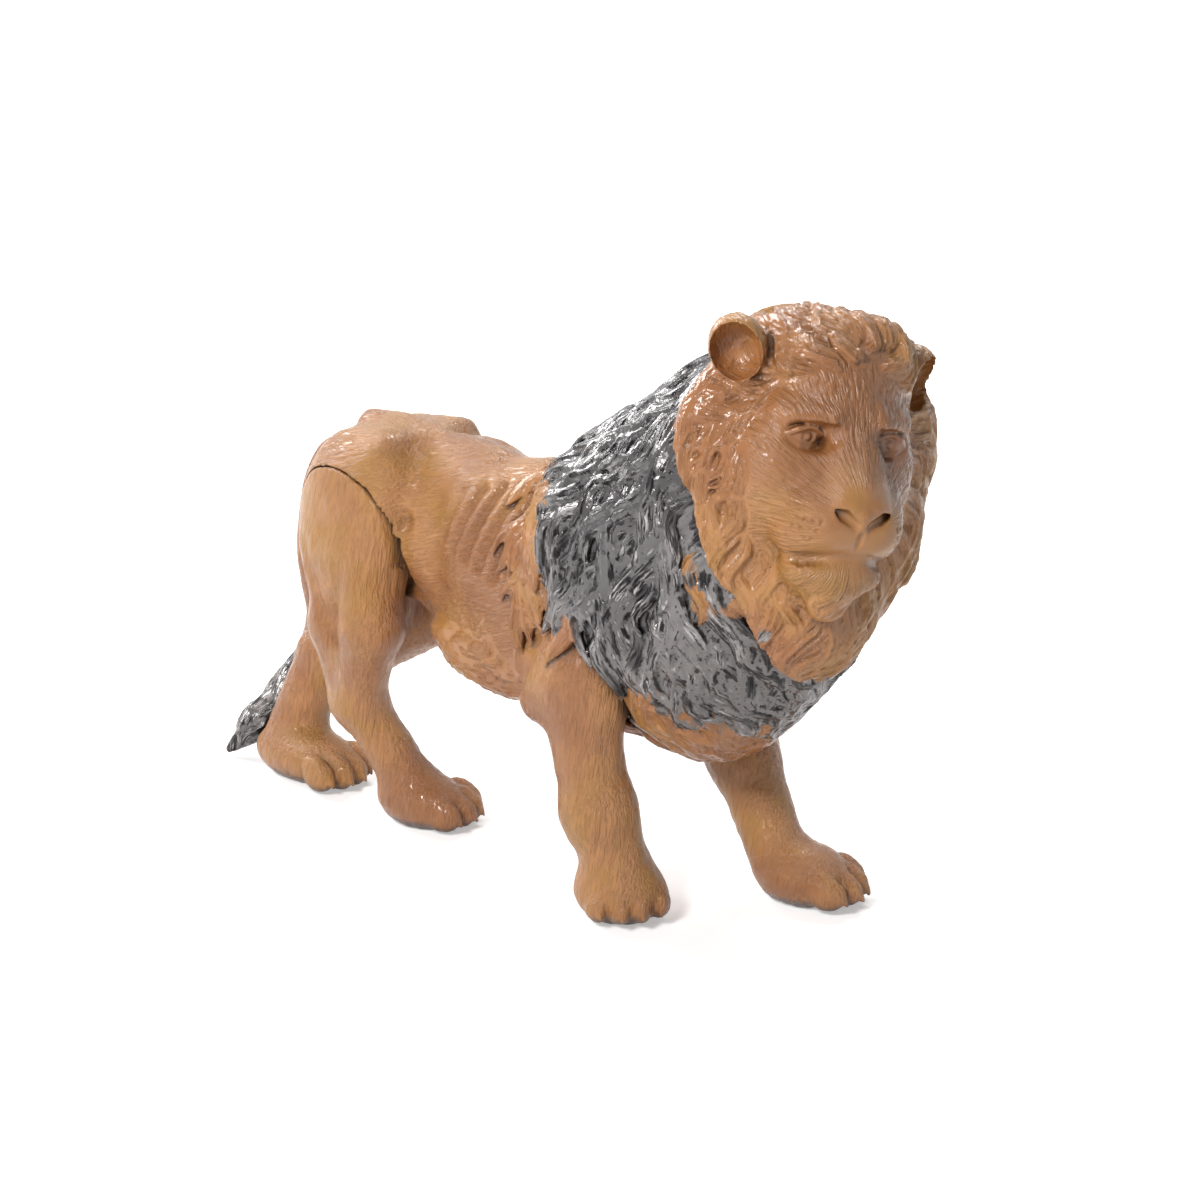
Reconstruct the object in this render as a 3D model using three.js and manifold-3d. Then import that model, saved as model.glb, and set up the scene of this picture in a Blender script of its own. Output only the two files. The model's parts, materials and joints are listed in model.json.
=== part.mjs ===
import * as THREE from 'three';
import { mergeVertices } from 'three/addons/utils/BufferGeometryUtils.js';
import Module from 'manifold-3d';

const wasm = await Module();
wasm.setup();

// Toy lion of hollow soft vinyl, walking, its face turned to its right.
// Frame: +X is ahead of the lion, +Y its left, +Z up, the soles at zero height.
// Sculpted places and sizes are shares of the mane's length from rear rim to face seam.

// Driving sizes in millimetres.
const maneLength = 100;
const wall = 2.5;
const fitGap = 0.3;
const plugGap = 0.6;
const flangeThick = 2;

// Joint sizes, as shares of the mane's length.
const jointShares = {
  haunchRadius: 0.25, haunchSeat: 0.12, haunchDepth: 0.6,
  shoulderRadius: 0.2, shoulderSeat: 0.18, shoulderDepth: 0.405, skirtStep: 0.036,
  legNeck: 0.09, legFlange: 0.115, legBore: 0.05,
  headNeck: 0.15, headFlange: 0.18, headBore: 0.1,
  tailNeck: 0.038, tailFlange: 0.054, tailSeat: 0.08,
};

// Angles in degrees.
const seamTilt = 22;
const faceYaw = -17;
const faceRoll = -12;
const tailTilt = 20;

// Smoothing radii and mesh counts.
const bodyBlendShare = 0.12;
const legBlendShare = 0.07;
const faceBlendShare = 0.07;
const halvings = 14;
const roundSides = 24;
const plugSides = 14;

const axisX = new THREE.Vector3(1, 0, 0);
const axisY = new THREE.Vector3(0, 1, 0);
const axisZ = new THREE.Vector3(0, 0, 1);
const turn = (axis, degrees) => new THREE.Quaternion()
  .setFromAxisAngle(axis, THREE.MathUtils.degToRad(degrees));
const place = (shares) => new THREE.Vector3(...shares).multiplyScalar(maneLength);
const length = (share) => share * maneLength;
const joint = Object.fromEntries(Object.entries(jointShares)
  .map(([name, share]) => [name, share * maneLength]));

// Places that the joints share.
const haunchAxisShares = [-0.855, 0, 1.12];
const shoulderAxisShares = [0.46, 0, 1.04];
const tailSeatShares = [-1.05, 0, 1.32];
const seamShares = { along: 1.6, plugUp: 1.05 };
const faceShares = [1.403, -0.09, 1.835];

const seamNormal = axisX.clone().applyQuaternion(turn(axisY, -seamTilt));
const seamUp = axisZ.clone().applyQuaternion(turn(axisY, -seamTilt));
const onSeam = (along, up) => seamNormal.clone().multiplyScalar(length(along))
  .addScaledVector(seamUp, length(up));
const plugPoint = onSeam(seamShares.along, seamShares.plugUp);
const tailNormal = axisX.clone().negate().applyQuaternion(turn(axisY, tailTilt));
const faceTurn = turn(axisZ, faceYaw).multiply(turn(axisX, faceRoll));
const facePoint = place(faceShares);

// Muscle masses. A ball has a centre and three radii, a limb two ends and two radii.
const trunkShares = [
  { at: [-0.78, 0, 1.2], size: [0.32, 0.25, 0.32] },
  { from: [-0.9, -0.16, 1.36], to: [-0.7, -0.165, 1.41], thick: [0.1, 0.095] },
  { from: [-0.9, 0.16, 1.36], to: [-0.66, 0.17, 1.41], thick: [0.1, 0.09] },
  { at: [-0.83, -0.15, 1.15], size: [0.26, 0.155, 0.26] },
  { at: [-0.83, 0.15, 1.15], size: [0.26, 0.155, 0.26] },
  { at: [-0.42, 0, 1.15], size: [0.4, 0.21, 0.335] },
  { at: [0, 0, 1.06], size: [0.5, 0.28, 0.415] },
  { at: [-0.24, 0, 0.78], size: [0.32, 0.15, 0.17] },
  { at: [0.12, 0, 1.3], size: [0.3, 0.14, 0.2] },
  { at: [0.42, 0, 0.98], size: [0.28, 0.25, 0.37] },
  { from: [0.4, 0, 1.2], to: [1.15, 0, 1.6], thick: [0.33, 0.25] },
];
const trunkPathShares = [
  [-1.08, 0, 1.2], [-1.03, 0, 1.2], [-0.95, 0, 1.2], [-0.87, 0, 1.19], [-0.79, 0, 1.18],
  [-0.71, 0, 1.17], [-0.63, 0, 1.17], [-0.55, 0, 1.16], [-0.46, 0, 1.14], [-0.37, 0, 1.12],
  [-0.28, 0, 1.1], [-0.19, 0, 1.08], [-0.1, 0, 1.07], [0, 0, 1.07], [0.1, 0, 1.08],
  [0.2, 0, 1.1], [0.31, 0, 1.13], [0.43, 0, 1.18], [0.56, 0, 1.25], [0.7, 0, 1.33],
  [0.84, 0, 1.42], [0.97, 0, 1.5],
];
const trunkSides = 22;
const neckRunShare = 0.02;
const tailCutShare = 0.3;

const rearRightShares = {
  masses: [
    { at: [-0.85, -0.17, 1.12], size: [0.27, 0.14, 0.31] },
    { from: [-0.8, -0.2, 1.04], to: [-0.73, -0.22, 0.79], thick: [0.15, 0.115] },
    { from: [-0.94, -0.19, 1.04], to: [-0.92, -0.2, 0.76], thick: [0.13, 0.1] },
    { from: [-0.74, -0.22, 0.76], to: [-0.84, -0.19, 0.46], thick: [0.11, 0.09] },
    { from: [-0.94, -0.2, 0.74], to: [-0.92, -0.18, 0.45], thick: [0.1, 0.06] },
    { from: [-0.84, -0.17, 0.44], to: [-0.7, -0.09, 0.18], thick: [0.09, 0.095] },
    { at: [-0.645, -0.06, 0.09], size: [0.19, 0.135, 0.11] },
  ],
  toes: { at: [-0.515, 0, 0.07], yaw: 24 },
  skirt: [[-0.585, 1.14], [-0.57, 0.95], [-0.555, 0.82], [-0.56, 0.7], [-0.6, 0.55],
    [-1.2, 0.55], [-1.12, 1.12]],
  path: [
    [-0.62, -0.05, 0], [-0.62, -0.05, 0.03], [-0.62, -0.05, 0.07], [-0.64, -0.06, 0.11],
    [-0.67, -0.07, 0.15], [-0.7, -0.09, 0.2], [-0.73, -0.11, 0.25], [-0.77, -0.13, 0.32],
    [-0.81, -0.15, 0.39], [-0.85, -0.18, 0.46], [-0.86, -0.19, 0.53], [-0.86, -0.2, 0.6],
    [-0.86, -0.2, 0.68], [-0.86, -0.2, 0.76], [-0.86, -0.2, 0.84], [-0.87, -0.2, 0.92],
    [-0.87, -0.19, 1], [-0.87, -0.18, 1.09], [-0.87, -0.17, 1.18], [-0.87, -0.17, 1.26],
    [-0.86, -0.17, 1.32], [-0.86, -0.17, 1.36],
  ],
};
const rearLeftShares = {
  masses: [
    { at: [-0.85, 0.17, 1.12], size: [0.27, 0.14, 0.31] },
    { from: [-0.8, 0.2, 1.04], to: [-0.8, 0.2, 0.78], thick: [0.15, 0.125] },
    { from: [-0.94, 0.19, 1.04], to: [-0.97, 0.19, 0.78], thick: [0.13, 0.11] },
    { from: [-0.81, 0.19, 0.76], to: [-1.22, 0.1, 0.5], thick: [0.125, 0.09] },
    { from: [-1, 0.17, 0.76], to: [-1.34, 0.08, 0.51], thick: [0.1, 0.06] },
    { from: [-1.33, 0.08, 0.48], to: [-1.42, 0.03, 0.2], thick: [0.095, 0.11] },
    { from: [-0.88, 0.19, 0.72], to: [-1.16, 0.14, 0.5], thick: [0.13, 0.09] },
    { at: [-1.345, 0, 0.09], size: [0.25, 0.13, 0.11] },
  ],
  toes: { at: [-1.142, -0.005, 0.07], yaw: 4 },
  skirt: [[-0.58, 1.14], [-0.565, 0.95], [-0.59, 0.8], [-0.6, 0.68], [-0.65, 0.5],
    [-1.3, 0.5], [-1.12, 1.12]],
  path: [
    [-1.33, 0, 0], [-1.33, 0, 0.03], [-1.33, 0, 0.07], [-1.34, 0.01, 0.11],
    [-1.36, 0.01, 0.15], [-1.38, 0.02, 0.2], [-1.39, 0.03, 0.26], [-1.37, 0.05, 0.33],
    [-1.34, 0.07, 0.4], [-1.28, 0.08, 0.46], [-1.2, 0.11, 0.52], [-1.11, 0.13, 0.58],
    [-1.02, 0.16, 0.64], [-0.95, 0.18, 0.71], [-0.91, 0.19, 0.78], [-0.89, 0.2, 0.85],
    [-0.88, 0.2, 0.93], [-0.87, 0.19, 1.01], [-0.87, 0.18, 1.09], [-0.87, 0.17, 1.18],
    [-0.86, 0.17, 1.26], [-0.86, 0.17, 1.32], [-0.86, 0.17, 1.36],
  ],
};
const frontRightShares = {
  masses: [
    { at: [0.46, -0.27, 1.04], size: [0.22, 0.12, 0.24] },
    { at: [0.44, -0.32, 0.84], size: [0.18, 0.13, 0.22] },
    { from: [0.36, -0.34, 0.86], to: [0.3, -0.35, 0.77], thick: [0.1, 0.09] },
    { from: [0.45, -0.33, 0.8], to: [0.5, -0.32, 0.46], thick: [0.155, 0.13] },
    { from: [0.5, -0.32, 0.46], to: [0.545, -0.29, 0.22], thick: [0.13, 0.115] },
    { at: [0.565, -0.265, 0.1], size: [0.17, 0.155, 0.12] },
  ],
  toes: { at: [0.645, -0.31, 0.075], yaw: -36 },
  skirt: [[0.25, 1.01], [0.38, 1.06], [0.54, 1.06], [0.64, 0.98], [0.665, 0.84],
    [0.67, 0.72], [0.7, 0.6], [0.72, 0.45], [0.24, 0.45], [0.155, 0.74], [0.155, 0.86]],
  path: [
    [0.57, -0.27, 0], [0.57, -0.27, 0.03], [0.57, -0.27, 0.07], [0.57, -0.27, 0.11],
    [0.56, -0.28, 0.15], [0.55, -0.29, 0.19], [0.54, -0.3, 0.24], [0.53, -0.3, 0.31],
    [0.52, -0.31, 0.38], [0.49, -0.32, 0.46], [0.48, -0.33, 0.54], [0.47, -0.33, 0.62],
    [0.44, -0.33, 0.7], [0.43, -0.33, 0.78], [0.43, -0.32, 0.86], [0.44, -0.3, 0.94],
    [0.45, -0.28, 1.02], [0.46, -0.27, 1.1], [0.46, -0.27, 1.17], [0.46, -0.27, 1.23],
  ],
};
const frontLeftShares = {
  masses: [
    { at: [0.46, 0.27, 1.04], size: [0.22, 0.12, 0.24] },
    { at: [0.47, 0.32, 0.86], size: [0.19, 0.13, 0.22] },
    { from: [0.49, 0.335, 0.8], to: [0.64, 0.31, 0.48], thick: [0.155, 0.125] },
    { from: [0.64, 0.31, 0.48], to: [0.81, 0.285, 0.21], thick: [0.125, 0.105] },
    { at: [0.92, 0.295, 0.1], size: [0.19, 0.145, 0.115] },
  ],
  toes: { at: [1.06, 0.345, 0.075], yaw: 22 },
  skirt: [[0.235, 1.01], [0.38, 1.07], [0.56, 1.07], [0.66, 0.99], [0.7, 0.86], [0.76, 0.72],
    [0.86, 0.54], [0.9, 0.45], [0.3, 0.45], [0.225, 0.82]],
  path: [
    [0.95, 0.3, 0], [0.95, 0.3, 0.03], [0.95, 0.3, 0.07], [0.92, 0.3, 0.11],
    [0.88, 0.29, 0.15], [0.84, 0.28, 0.19], [0.8, 0.28, 0.24], [0.76, 0.28, 0.31],
    [0.72, 0.29, 0.38], [0.67, 0.3, 0.46], [0.63, 0.3, 0.54], [0.59, 0.3, 0.62],
    [0.55, 0.31, 0.7], [0.5, 0.31, 0.78], [0.47, 0.31, 0.86], [0.46, 0.29, 0.94],
    [0.46, 0.28, 1.02], [0.46, 0.27, 1.1], [0.46, 0.27, 1.17], [0.46, 0.27, 1.23],
  ],
};
const legSides = 14;
const hollowFromShare = 0.3;
const discFreeShare = 0.4;
const toeShares = { spread: 0.072, back: 0.035, size: [0.07, 0.044, 0.06] };

// Tail: path, radius along it, and the tuft.
const tailShares = {
  path: [
    [-1.05, 0, 1.32], [-1.13, -0.01, 1.33], [-1.21, -0.02, 1.23], [-1.25, -0.03, 1.07],
    [-1.28, -0.02, 0.92], [-1.33, 0.04, 0.77], [-1.42, 0.14, 0.61], [-1.53, 0.2, 0.43],
    [-1.6, 0.16, 0.26], [-1.67, 0.05, 0.13], [-1.74, -0.05, 0.03],
  ],
  radii: [0.066, 0.06, 0.054, 0.05, 0.047, 0.044, 0.042, 0.048, 0.072, 0.066, 0.015],
};
const tailSides = 8;
const tailRings = 22;

// Mane sections square to the seam: place along, lowest, highest and half width.
const maneSectionShares = [
  [0.56, 0.82, 1.2, 0.31], [0.6, 0.6, 1.33, 0.36], [0.68, 0.43, 1.41, 0.41],
  [0.78, 0.33, 1.44, 0.44], [0.9, 0.27, 1.465, 0.46], [1.04, 0.245, 1.49, 0.47],
  [1.18, 0.265, 1.515, 0.47], [1.32, 0.315, 1.545, 0.47], [1.46, 0.375, 1.58, 0.46],
  [1.6, 0.44, 1.61, 0.45],
];
const maneRings = 22;
const maneSides = 48;
const maneTaperShare = 0.28;
const maneSquareness = 2.3;

// Locks overlap in rows, each with its tip to the rear and its root under the next row.
const locks = { rows: 5.5, around: 12, raiseShare: 0.06, pointShare: 0.4 };
const lockSinkShare = 0.03;

// Head masses in the face's own frame, measured from midway between the eyes.
const headShares = [
  { at: [-0.34, 0, 0.03], size: [0.34, 0.31, 0.33] },
  { at: [-0.12, 0, 0.11], size: [0.16, 0.24, 0.19] },
  { from: [-0.03, 0, 0.06], to: [0.1, 0, -0.15], thick: [0.09, 0.095] },
  { at: [0.02, 0, -0.28], size: [0.17, 0.19, 0.11] },
  { at: [0.07, -0.095, -0.27], size: [0.11, 0.105, 0.09] },
  { at: [0.07, 0.095, -0.27], size: [0.11, 0.105, 0.09] },
  { at: [0.01, 0, -0.43], size: [0.13, 0.14, 0.1] },
  { at: [-0.13, -0.19, -0.13], size: [0.18, 0.15, 0.24] },
  { at: [-0.13, 0.19, -0.13], size: [0.18, 0.15, 0.24] },
  { at: [-0.27, 0.035, -0.1], size: [0.17, 0.49, 0.42] },
  { at: [-0.2, 0.075, -0.38], size: [0.17, 0.445, 0.4] },
  { at: [-0.11, 0.1, -0.61], size: [0.14, 0.25, 0.24] },
];

// Features added to the head or cut from it, alike on both sides: brow, cheekbone, side of
// the muzzle, eye socket, bridge, nose, lip pad, mouth, chin, beard and the forelock's tufts.
const featureShares = [
  { from: [0.02, 0.085, 0.075], to: [-0.05, 0.23, 0.07], thick: [0.045, 0.035], blend: 0.05 },
  { from: [-0.02, 0.17, -0.1], to: [-0.11, 0.25, -0.06], thick: [0.055, 0.05], blend: 0.06 },
  { from: [0, 0.08, -0.08], to: [0.05, 0.12, -0.22], thick: [0.075, 0.09], blend: 0.08 },
  { cut: true, at: [0.06, 0.158, 0], size: [0.065, 0.09, 0.045], blend: 0.06 },
  { from: [-0.01, 0.045, 0.08], to: [0.125, 0.058, -0.17], thick: [0.05, 0.052], blend: 0.03 },
  { at: [0.145, 0.035, -0.195], size: [0.055, 0.06, 0.045], blend: 0.03 },
  { at: [0.145, 0.082, -0.2], size: [0.04, 0.034, 0.032], blend: 0.025 },
  { at: [0.075, 0.1, -0.285], size: [0.105, 0.105, 0.075], blend: 0.03 },
  { cut: true, from: [0.2, 0, -0.352], to: [0.175, 0.08, -0.372], thick: [0.02, 0.018], blend: 0.02 },
  { cut: true, from: [0.175, 0.08, -0.372], to: [0.03, 0.2, -0.4], thick: [0.018, 0.016],
    blend: 0.02 },
  { at: [0.03, 0.03, -0.44], size: [0.115, 0.125, 0.1], blend: 0.03 },
  { from: [0.04, 0, -0.47], to: [-0.02, 0, -0.6], thick: [0.08, 0.03], blend: 0.02 },
  { from: [0.02, 0.1, -0.44], to: [-0.05, 0.12, -0.57], thick: [0.06, 0.025], blend: 0.02 },
  { from: [-0.09, 0.06, 0.24], to: [-0.2, 0.1, 0.37], thick: [0.07, 0.03], blend: 0.02 },
  { from: [-0.1, 0.16, 0.2], to: [-0.22, 0.29, 0.31], thick: [0.07, 0.03], blend: 0.02 },
];
const headCentreShares = [-0.3, 0, -0.06];
const headRings = 28;
const headSides = 36;
const headRingPower = 1.1;
const cavityRings = 8;
const cavitySides = 8;
const earSides = 10;
const eyeShares = { at: [-0.022, 0.162, 0], size: [0.052, 0.075, 0.048] };
const earShares = {
  left: [-0.2, 0.345, 0.195], right: [-0.21, -0.34, 0.25], size: [0.075, 0.1, 0.125],
  hollow: 0.84, scoop: [0.045, 0.015, 0.01],
};
const earYaw = 14;
const earRoll = 22;
const ruff = {
  rows: 9, around: 9, raiseShare: 0.045, pointShare: 0.4, startShare: 0.24, fullShare: 0.34,
};

const lerp = THREE.MathUtils.lerp;

// Signed distance of a point from one mass, below zero inside it.
function massField(row) {
  if (row.at) {
    const centre = place(row.at);
    const size = place(row.size);
    return (p) => {
      const q = p.clone().sub(centre);
      const near = q.clone().divide(size);
      const steep = near.clone().divide(size).length();
      return near.length() * (near.length() - 1) / Math.max(steep, Number.EPSILON);
    };
  }
  const start = place(row.from);
  const span = place(row.to).sub(start);
  return (p) => {
    const q = p.clone().sub(start);
    const part = THREE.MathUtils.clamp(q.dot(span) / span.lengthSq(), 0, 1);
    return q.addScaledVector(span, -part).length() - length(lerp(...row.thick, part));
  };
}

// Two distances joined with a rounded valley of the given reach.
function joined(one, other, reach) {
  const near = Math.max(reach - Math.abs(one - other), 0) / reach;
  return Math.min(one, other) - near * near * reach / 4;
}

// Masses joined into one field.
function blended(rows, blendShare) {
  const fields = rows.map((row) => massField(row));
  const reach = length(blendShare);
  return (p) => fields.reduce((sum, field) => joined(sum, field(p), reach), Infinity);
}

// A field with forms added, or cut where their row says so, and the same on the other side.
function featured(field, rows) {
  const across = ([x, y, z]) => [x, -y, z];
  const mirrored = (row) => (row.at ? { ...row, at: across(row.at) }
    : { ...row, from: across(row.from), to: across(row.to) });
  const forms = rows.flatMap((row) => [row, mirrored(row)]).map((row) => ({
    cut: row.cut, reach: length(row.blend), shape: massField(row),
  }));
  return (p) => forms.reduce((sum, { cut, reach, shape }) => (cut
    ? -joined(-sum, shape(p), reach) : joined(sum, shape(p), reach)), field(p));
}

// First place along a ray where the field rises past a level.
function reachOf(field, from, direction, level) {
  const limit = 2 * maneLength;
  const shortest = fitGap;
  let near = 0;
  let far = shortest;
  const at = (r) => field(from.clone().addScaledVector(direction, r)) - level;
  while (far < limit) {
    const value = at(far);
    if (value > 0) break;
    near = far;
    far += Math.max(-value / 2, shortest);
  }
  for (let pass = 0; pass < halvings; pass += 1) {
    const middle = (near + far) / 2;
    if (at(middle) > 0) far = middle; else near = middle;
  }
  return near;
}

// Closed skin through rings of equal count, with a pole at each end.
function skin(rings, firstPole, lastPole) {
  const sides = rings[0].length;
  const points = [firstPole, ...rings.flat(), lastPole];
  const last = points.length - 1;
  const index = [];
  const at = (ring, side) => 1 + ring * sides + (side % sides);
  for (let side = 0; side < sides; side += 1) {
    index.push(0, at(0, side + 1), at(0, side));
    index.push(last, at(rings.length - 1, side), at(rings.length - 1, side + 1));
    for (let ring = 0; ring < rings.length - 1; ring += 1) {
      const quad = [at(ring, side), at(ring, side + 1), at(ring + 1, side + 1), at(ring + 1, side)];
      index.push(quad[0], quad[1], quad[2], quad[0], quad[2], quad[3]);
    }
  }
  const geometry = new THREE.BufferGeometry().setFromPoints(points);
  geometry.setIndex(index);
  return geometry;
}

// Solid whose sections are cut from a field by rays square to the path.
function fieldLoft(field, stations, sides, level, flatStart, flatEnd) {
  const rings = stations.map(({ centre, normal, up }) => {
    const side = new THREE.Vector3().crossVectors(normal, up);
    return Array.from({ length: sides }, (_, i) => {
      const angle = i / sides * 2 * Math.PI;
      const direction = up.clone().multiplyScalar(Math.cos(angle))
        .addScaledVector(side, Math.sin(angle));
      return centre.clone().addScaledVector(direction, reachOf(field, centre, direction, level));
    });
  });
  const pole = (station, sign, flat) => (flat ? station.centre : station.centre.clone()
    .addScaledVector(station.normal, sign
      * reachOf(field, station.centre, station.normal.clone().multiplyScalar(sign), level)));
  const first = pole(stations[0], -1, flatStart);
  const last = pole(stations[stations.length - 1], 1, flatEnd);
  return toSolid(skin(rings, first, last));
}

// Manifold solid of a closed geometry, faces turned outward.
function toSolid(geometry) {
  const bare = geometry.clone();
  bare.deleteAttribute('normal');
  bare.deleteAttribute('uv');
  const merged = mergeVertices(bare);
  const spots = merged.getAttribute('position');
  const tris = Array.from(merged.getIndex().array);
  const corners = [0, 1, 2].map(() => new THREE.Vector3());
  let volume = 0;
  for (let i = 0; i < tris.length; i += 3) {
    corners.forEach((corner, k) => corner.fromBufferAttribute(spots, tris[i + k]));
    volume += corners[0].dot(corners[1].clone().cross(corners[2]));
  }
  const triVerts = new Uint32Array(tris.length);
  for (let i = 0; i < tris.length; i += 3) {
    const flip = volume < 0;
    triVerts.set([tris[i], tris[i + (flip ? 2 : 1)], tris[i + (flip ? 1 : 2)]], i);
  }
  const vertProperties = new Float32Array(spots.array);
  return new wasm.Manifold(new wasm.Mesh({ numProp: 3, vertProperties, triVerts }));
}

function placed(geometry, point, rotation) {
  geometry.applyMatrix4(new THREE.Matrix4()
    .compose(point, rotation, new THREE.Vector3(1, 1, 1)));
  return toSolid(geometry);
}

// Round bar or disc along an axis, from one distance to another.
function bar(point, axis, radius, from, to, sides = roundSides) {
  const geometry = new THREE.CylinderGeometry(radius, radius, to - from, sides);
  geometry.translate(0, (from + to) / 2, 0);
  return placed(geometry, point, new THREE.Quaternion().setFromUnitVectors(axisY, axis));
}

// Snap-in plug: a bored neck that ends in a wider flange with a lead-in edge.
function plug(point, axis, neckRadius, flangeRadius, boreRadius) {
  const seat = wall + 2 * fitGap;
  const profile = [
    [boreRadius, -wall], [neckRadius, -wall], [neckRadius, seat], [flangeRadius, seat],
    [flangeRadius, seat + flangeThick / 2], [neckRadius, seat + flangeThick],
    [boreRadius, seat + flangeThick], [boreRadius, -wall],
  ].map(([r, h]) => new THREE.Vector2(r, h));
  return placed(new THREE.LatheGeometry(profile, plugSides), point,
    new THREE.Quaternion().setFromUnitVectors(axisY, axis));
}

const far = 5 * maneLength;

// A leg: its own masses down to a flat sole, a flat inner face, a hollow and a plug.
// Its room is the disc's pocket with a skirt below for the swing of the thigh or arm.
function buildLeg(shares, side, { axis, radius, seat, depth }) {
  const hub = place(axis);
  const outward = axisY.clone().multiplyScalar(side);
  const toeTurn = turn(axisZ, shares.toes.yaw);
  const toes = [-1.5, -0.5, 0.5, 1.5].map((k) => {
    const inset = toeShares.back * (Math.abs(k) - 1);
    const at = new THREE.Vector3(-inset, k * toeShares.spread, 0).applyQuaternion(toeTurn);
    return { at: at.add(new THREE.Vector3(...shares.toes.at)).toArray(), size: toeShares.size };
  });
  const limbField = blended(shares.masses, legBlendShare);
  const toeFields = toes.map((toe) => massField(toe));
  const field = (p) => Math.min(limbField(p), ...toeFields.map((toe) => toe(p)));
  const stations = shares.path.map((row) => ({
    centre: place(row), normal: axisZ, up: axisX,
  }));
  const face = seat + fitGap;
  const beyondDisc = (grow) => bar(hub, outward, 2 * radius, -far, far)
    .subtract(bar(hub, outward, radius - grow, -far - wall, far + wall))
    .intersect(placed(new THREE.BoxGeometry(far, far, far), hub.clone()
      .add(new THREE.Vector3(0, 0, far / 2 - discFreeShare * radius - grow)), turn(axisZ, 0)));
  const outer = fieldLoft(field, stations, legSides, 0, true, false).subtract(beyondDisc(0))
    .subtract(bar(hub, outward, radius + 2 * wall, -far, face));
  const low = stations.findIndex(({ centre }) => centre.z > length(hollowFromShare));
  const upper = stations.slice(low).filter((_, i) => i % 2 === 1);
  const inner = fieldLoft(field, upper, cavitySides, -wall, false, false)
    .subtract(beyondDisc(wall)).subtract(bar(hub, outward, 3 * radius, -far, face + wall));
  const bore = bar(hub, outward, joint.legBore, 0, face + 2 * wall, plugSides);
  const peg = plug(hub.clone().addScaledVector(outward, face), outward.clone().negate(),
    joint.legNeck, joint.legFlange, joint.legBore);
  const outline = shares.skirt.map(([x, z]) => new THREE.Vector2(length(x), length(z)));
  const frame = new THREE.Box2().setFromPoints(outline);
  const middle = frame.getCenter(new THREE.Vector2());
  const extent = frame.getSize(new THREE.Vector2());
  const skirt = (grow, from) => {
    const spread = new THREE.Vector2(1 + 2 * grow / extent.x, 1 + 2 * grow / extent.y);
    const grownOutline = outline.map((p) => p.clone().sub(middle).multiply(spread).add(middle));
    const geometry = new THREE.ExtrudeGeometry(new THREE.Shape(grownOutline),
      { depth: far, bevelEnabled: false });
    geometry.rotateX(Math.PI / 2);
    geometry.translate(0, side < 0 ? -from : far + from, 0);
    return toSolid(geometry);
  };
  return {
    solid: outer.subtract(inner).subtract(bore).add(peg),
    room: skirt(0, seat - joint.skirtStep).subtract(bar(hub, outward, radius, 0, seat))
      .add(bar(hub, outward, radius + fitGap, seat, depth)),
    behind: skirt(wall, seat - joint.skirtStep - wall)
      .subtract(bar(hub, outward, radius - wall, 0, seat - wall))
      .add(bar(hub, outward, radius + fitGap + wall, seat - wall, depth)),
    hole: bar(hub, outward, joint.legNeck + plugGap, 0, seat + fitGap, plugSides),
  };
}

const haunch = {
  axis: haunchAxisShares, radius: joint.haunchRadius, seat: joint.haunchSeat,
  depth: joint.haunchDepth,
};
const shoulder = {
  axis: shoulderAxisShares, radius: joint.shoulderRadius, seat: joint.shoulderSeat,
  depth: joint.shoulderDepth,
};
const legs = {
  rear_right_leg: buildLeg(rearRightShares, -1, haunch),
  rear_left_leg: buildLeg(rearLeftShares, 1, haunch),
  front_right_leg: buildLeg(frontRightShares, -1, shoulder),
  front_left_leg: buildLeg(frontLeftShares, 1, shoulder),
};

// Half space on one side of a plane, as a large block.
function blockBeyond(point, normal) {
  return placed(new THREE.BoxGeometry(far, far, far),
    point.clone().addScaledVector(normal, far / 2),
    new THREE.Quaternion().setFromUnitVectors(axisX, normal));
}

// Trunk with its neck, cut for the discs, the plugs, the tail and the head.
const trunkField = blended(trunkShares, bodyBlendShare);
const trunkStations = (rows) => rows.map((row, i) => {
  const part = THREE.MathUtils.smoothstep(i, rows.length / 2, rows.length - 1);
  const rotation = turn(axisY, -seamTilt * part);
  return {
    centre: place(row), normal: axisX.clone().applyQuaternion(rotation),
    up: axisZ.clone().applyQuaternion(rotation),
  };
});
const neckFront = plugPoint.clone().addScaledVector(seamNormal, -fitGap);
const neckStations = [
  ...trunkStations(trunkPathShares),
  { centre: plugPoint.clone().addScaledVector(seamNormal, length(neckRunShare)), normal: seamNormal,
    up: seamUp },
];
const trunkOuter = fieldLoft(trunkField, neckStations, trunkSides, 0, false, true)
  .subtract(blockBeyond(neckFront, seamNormal));
const trunkGrown = fieldLoft(trunkField, neckStations, trunkSides, fitGap, false, true);
const cavityStations = neckStations.filter((_, i, all) => i % 2 === 1 || i === all.length - 1);
const trunkInner = fieldLoft(trunkField, cavityStations, cavitySides, -wall, false, true)
  .subtract(blockBeyond(neckFront.clone().addScaledVector(seamNormal, -wall), seamNormal));
const tailSeat = place(tailSeatShares);
const tailFlat = bar(tailSeat, tailNormal, joint.tailSeat, 0, length(tailCutShare));
const tailBehind = bar(tailSeat, tailNormal, joint.tailSeat + wall, -wall, length(tailCutShare));
let trunk = trunkOuter.subtract(tailFlat);
let trunkHollow = trunkInner.subtract(tailBehind);
for (const { room, behind } of Object.values(legs)) {
  trunk = trunk.subtract(room);
  trunkHollow = trunkHollow.subtract(behind);
}
trunk = trunk.subtract(trunkHollow)
  .subtract(bar(plugPoint, seamNormal, joint.headNeck + plugGap, -3 * wall, wall, plugSides))
  .subtract(bar(tailSeat, tailNormal, joint.tailNeck + plugGap, -2 * wall, wall, plugSides));
for (const { hole } of Object.values(legs)) trunk = trunk.subtract(hole);

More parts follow.
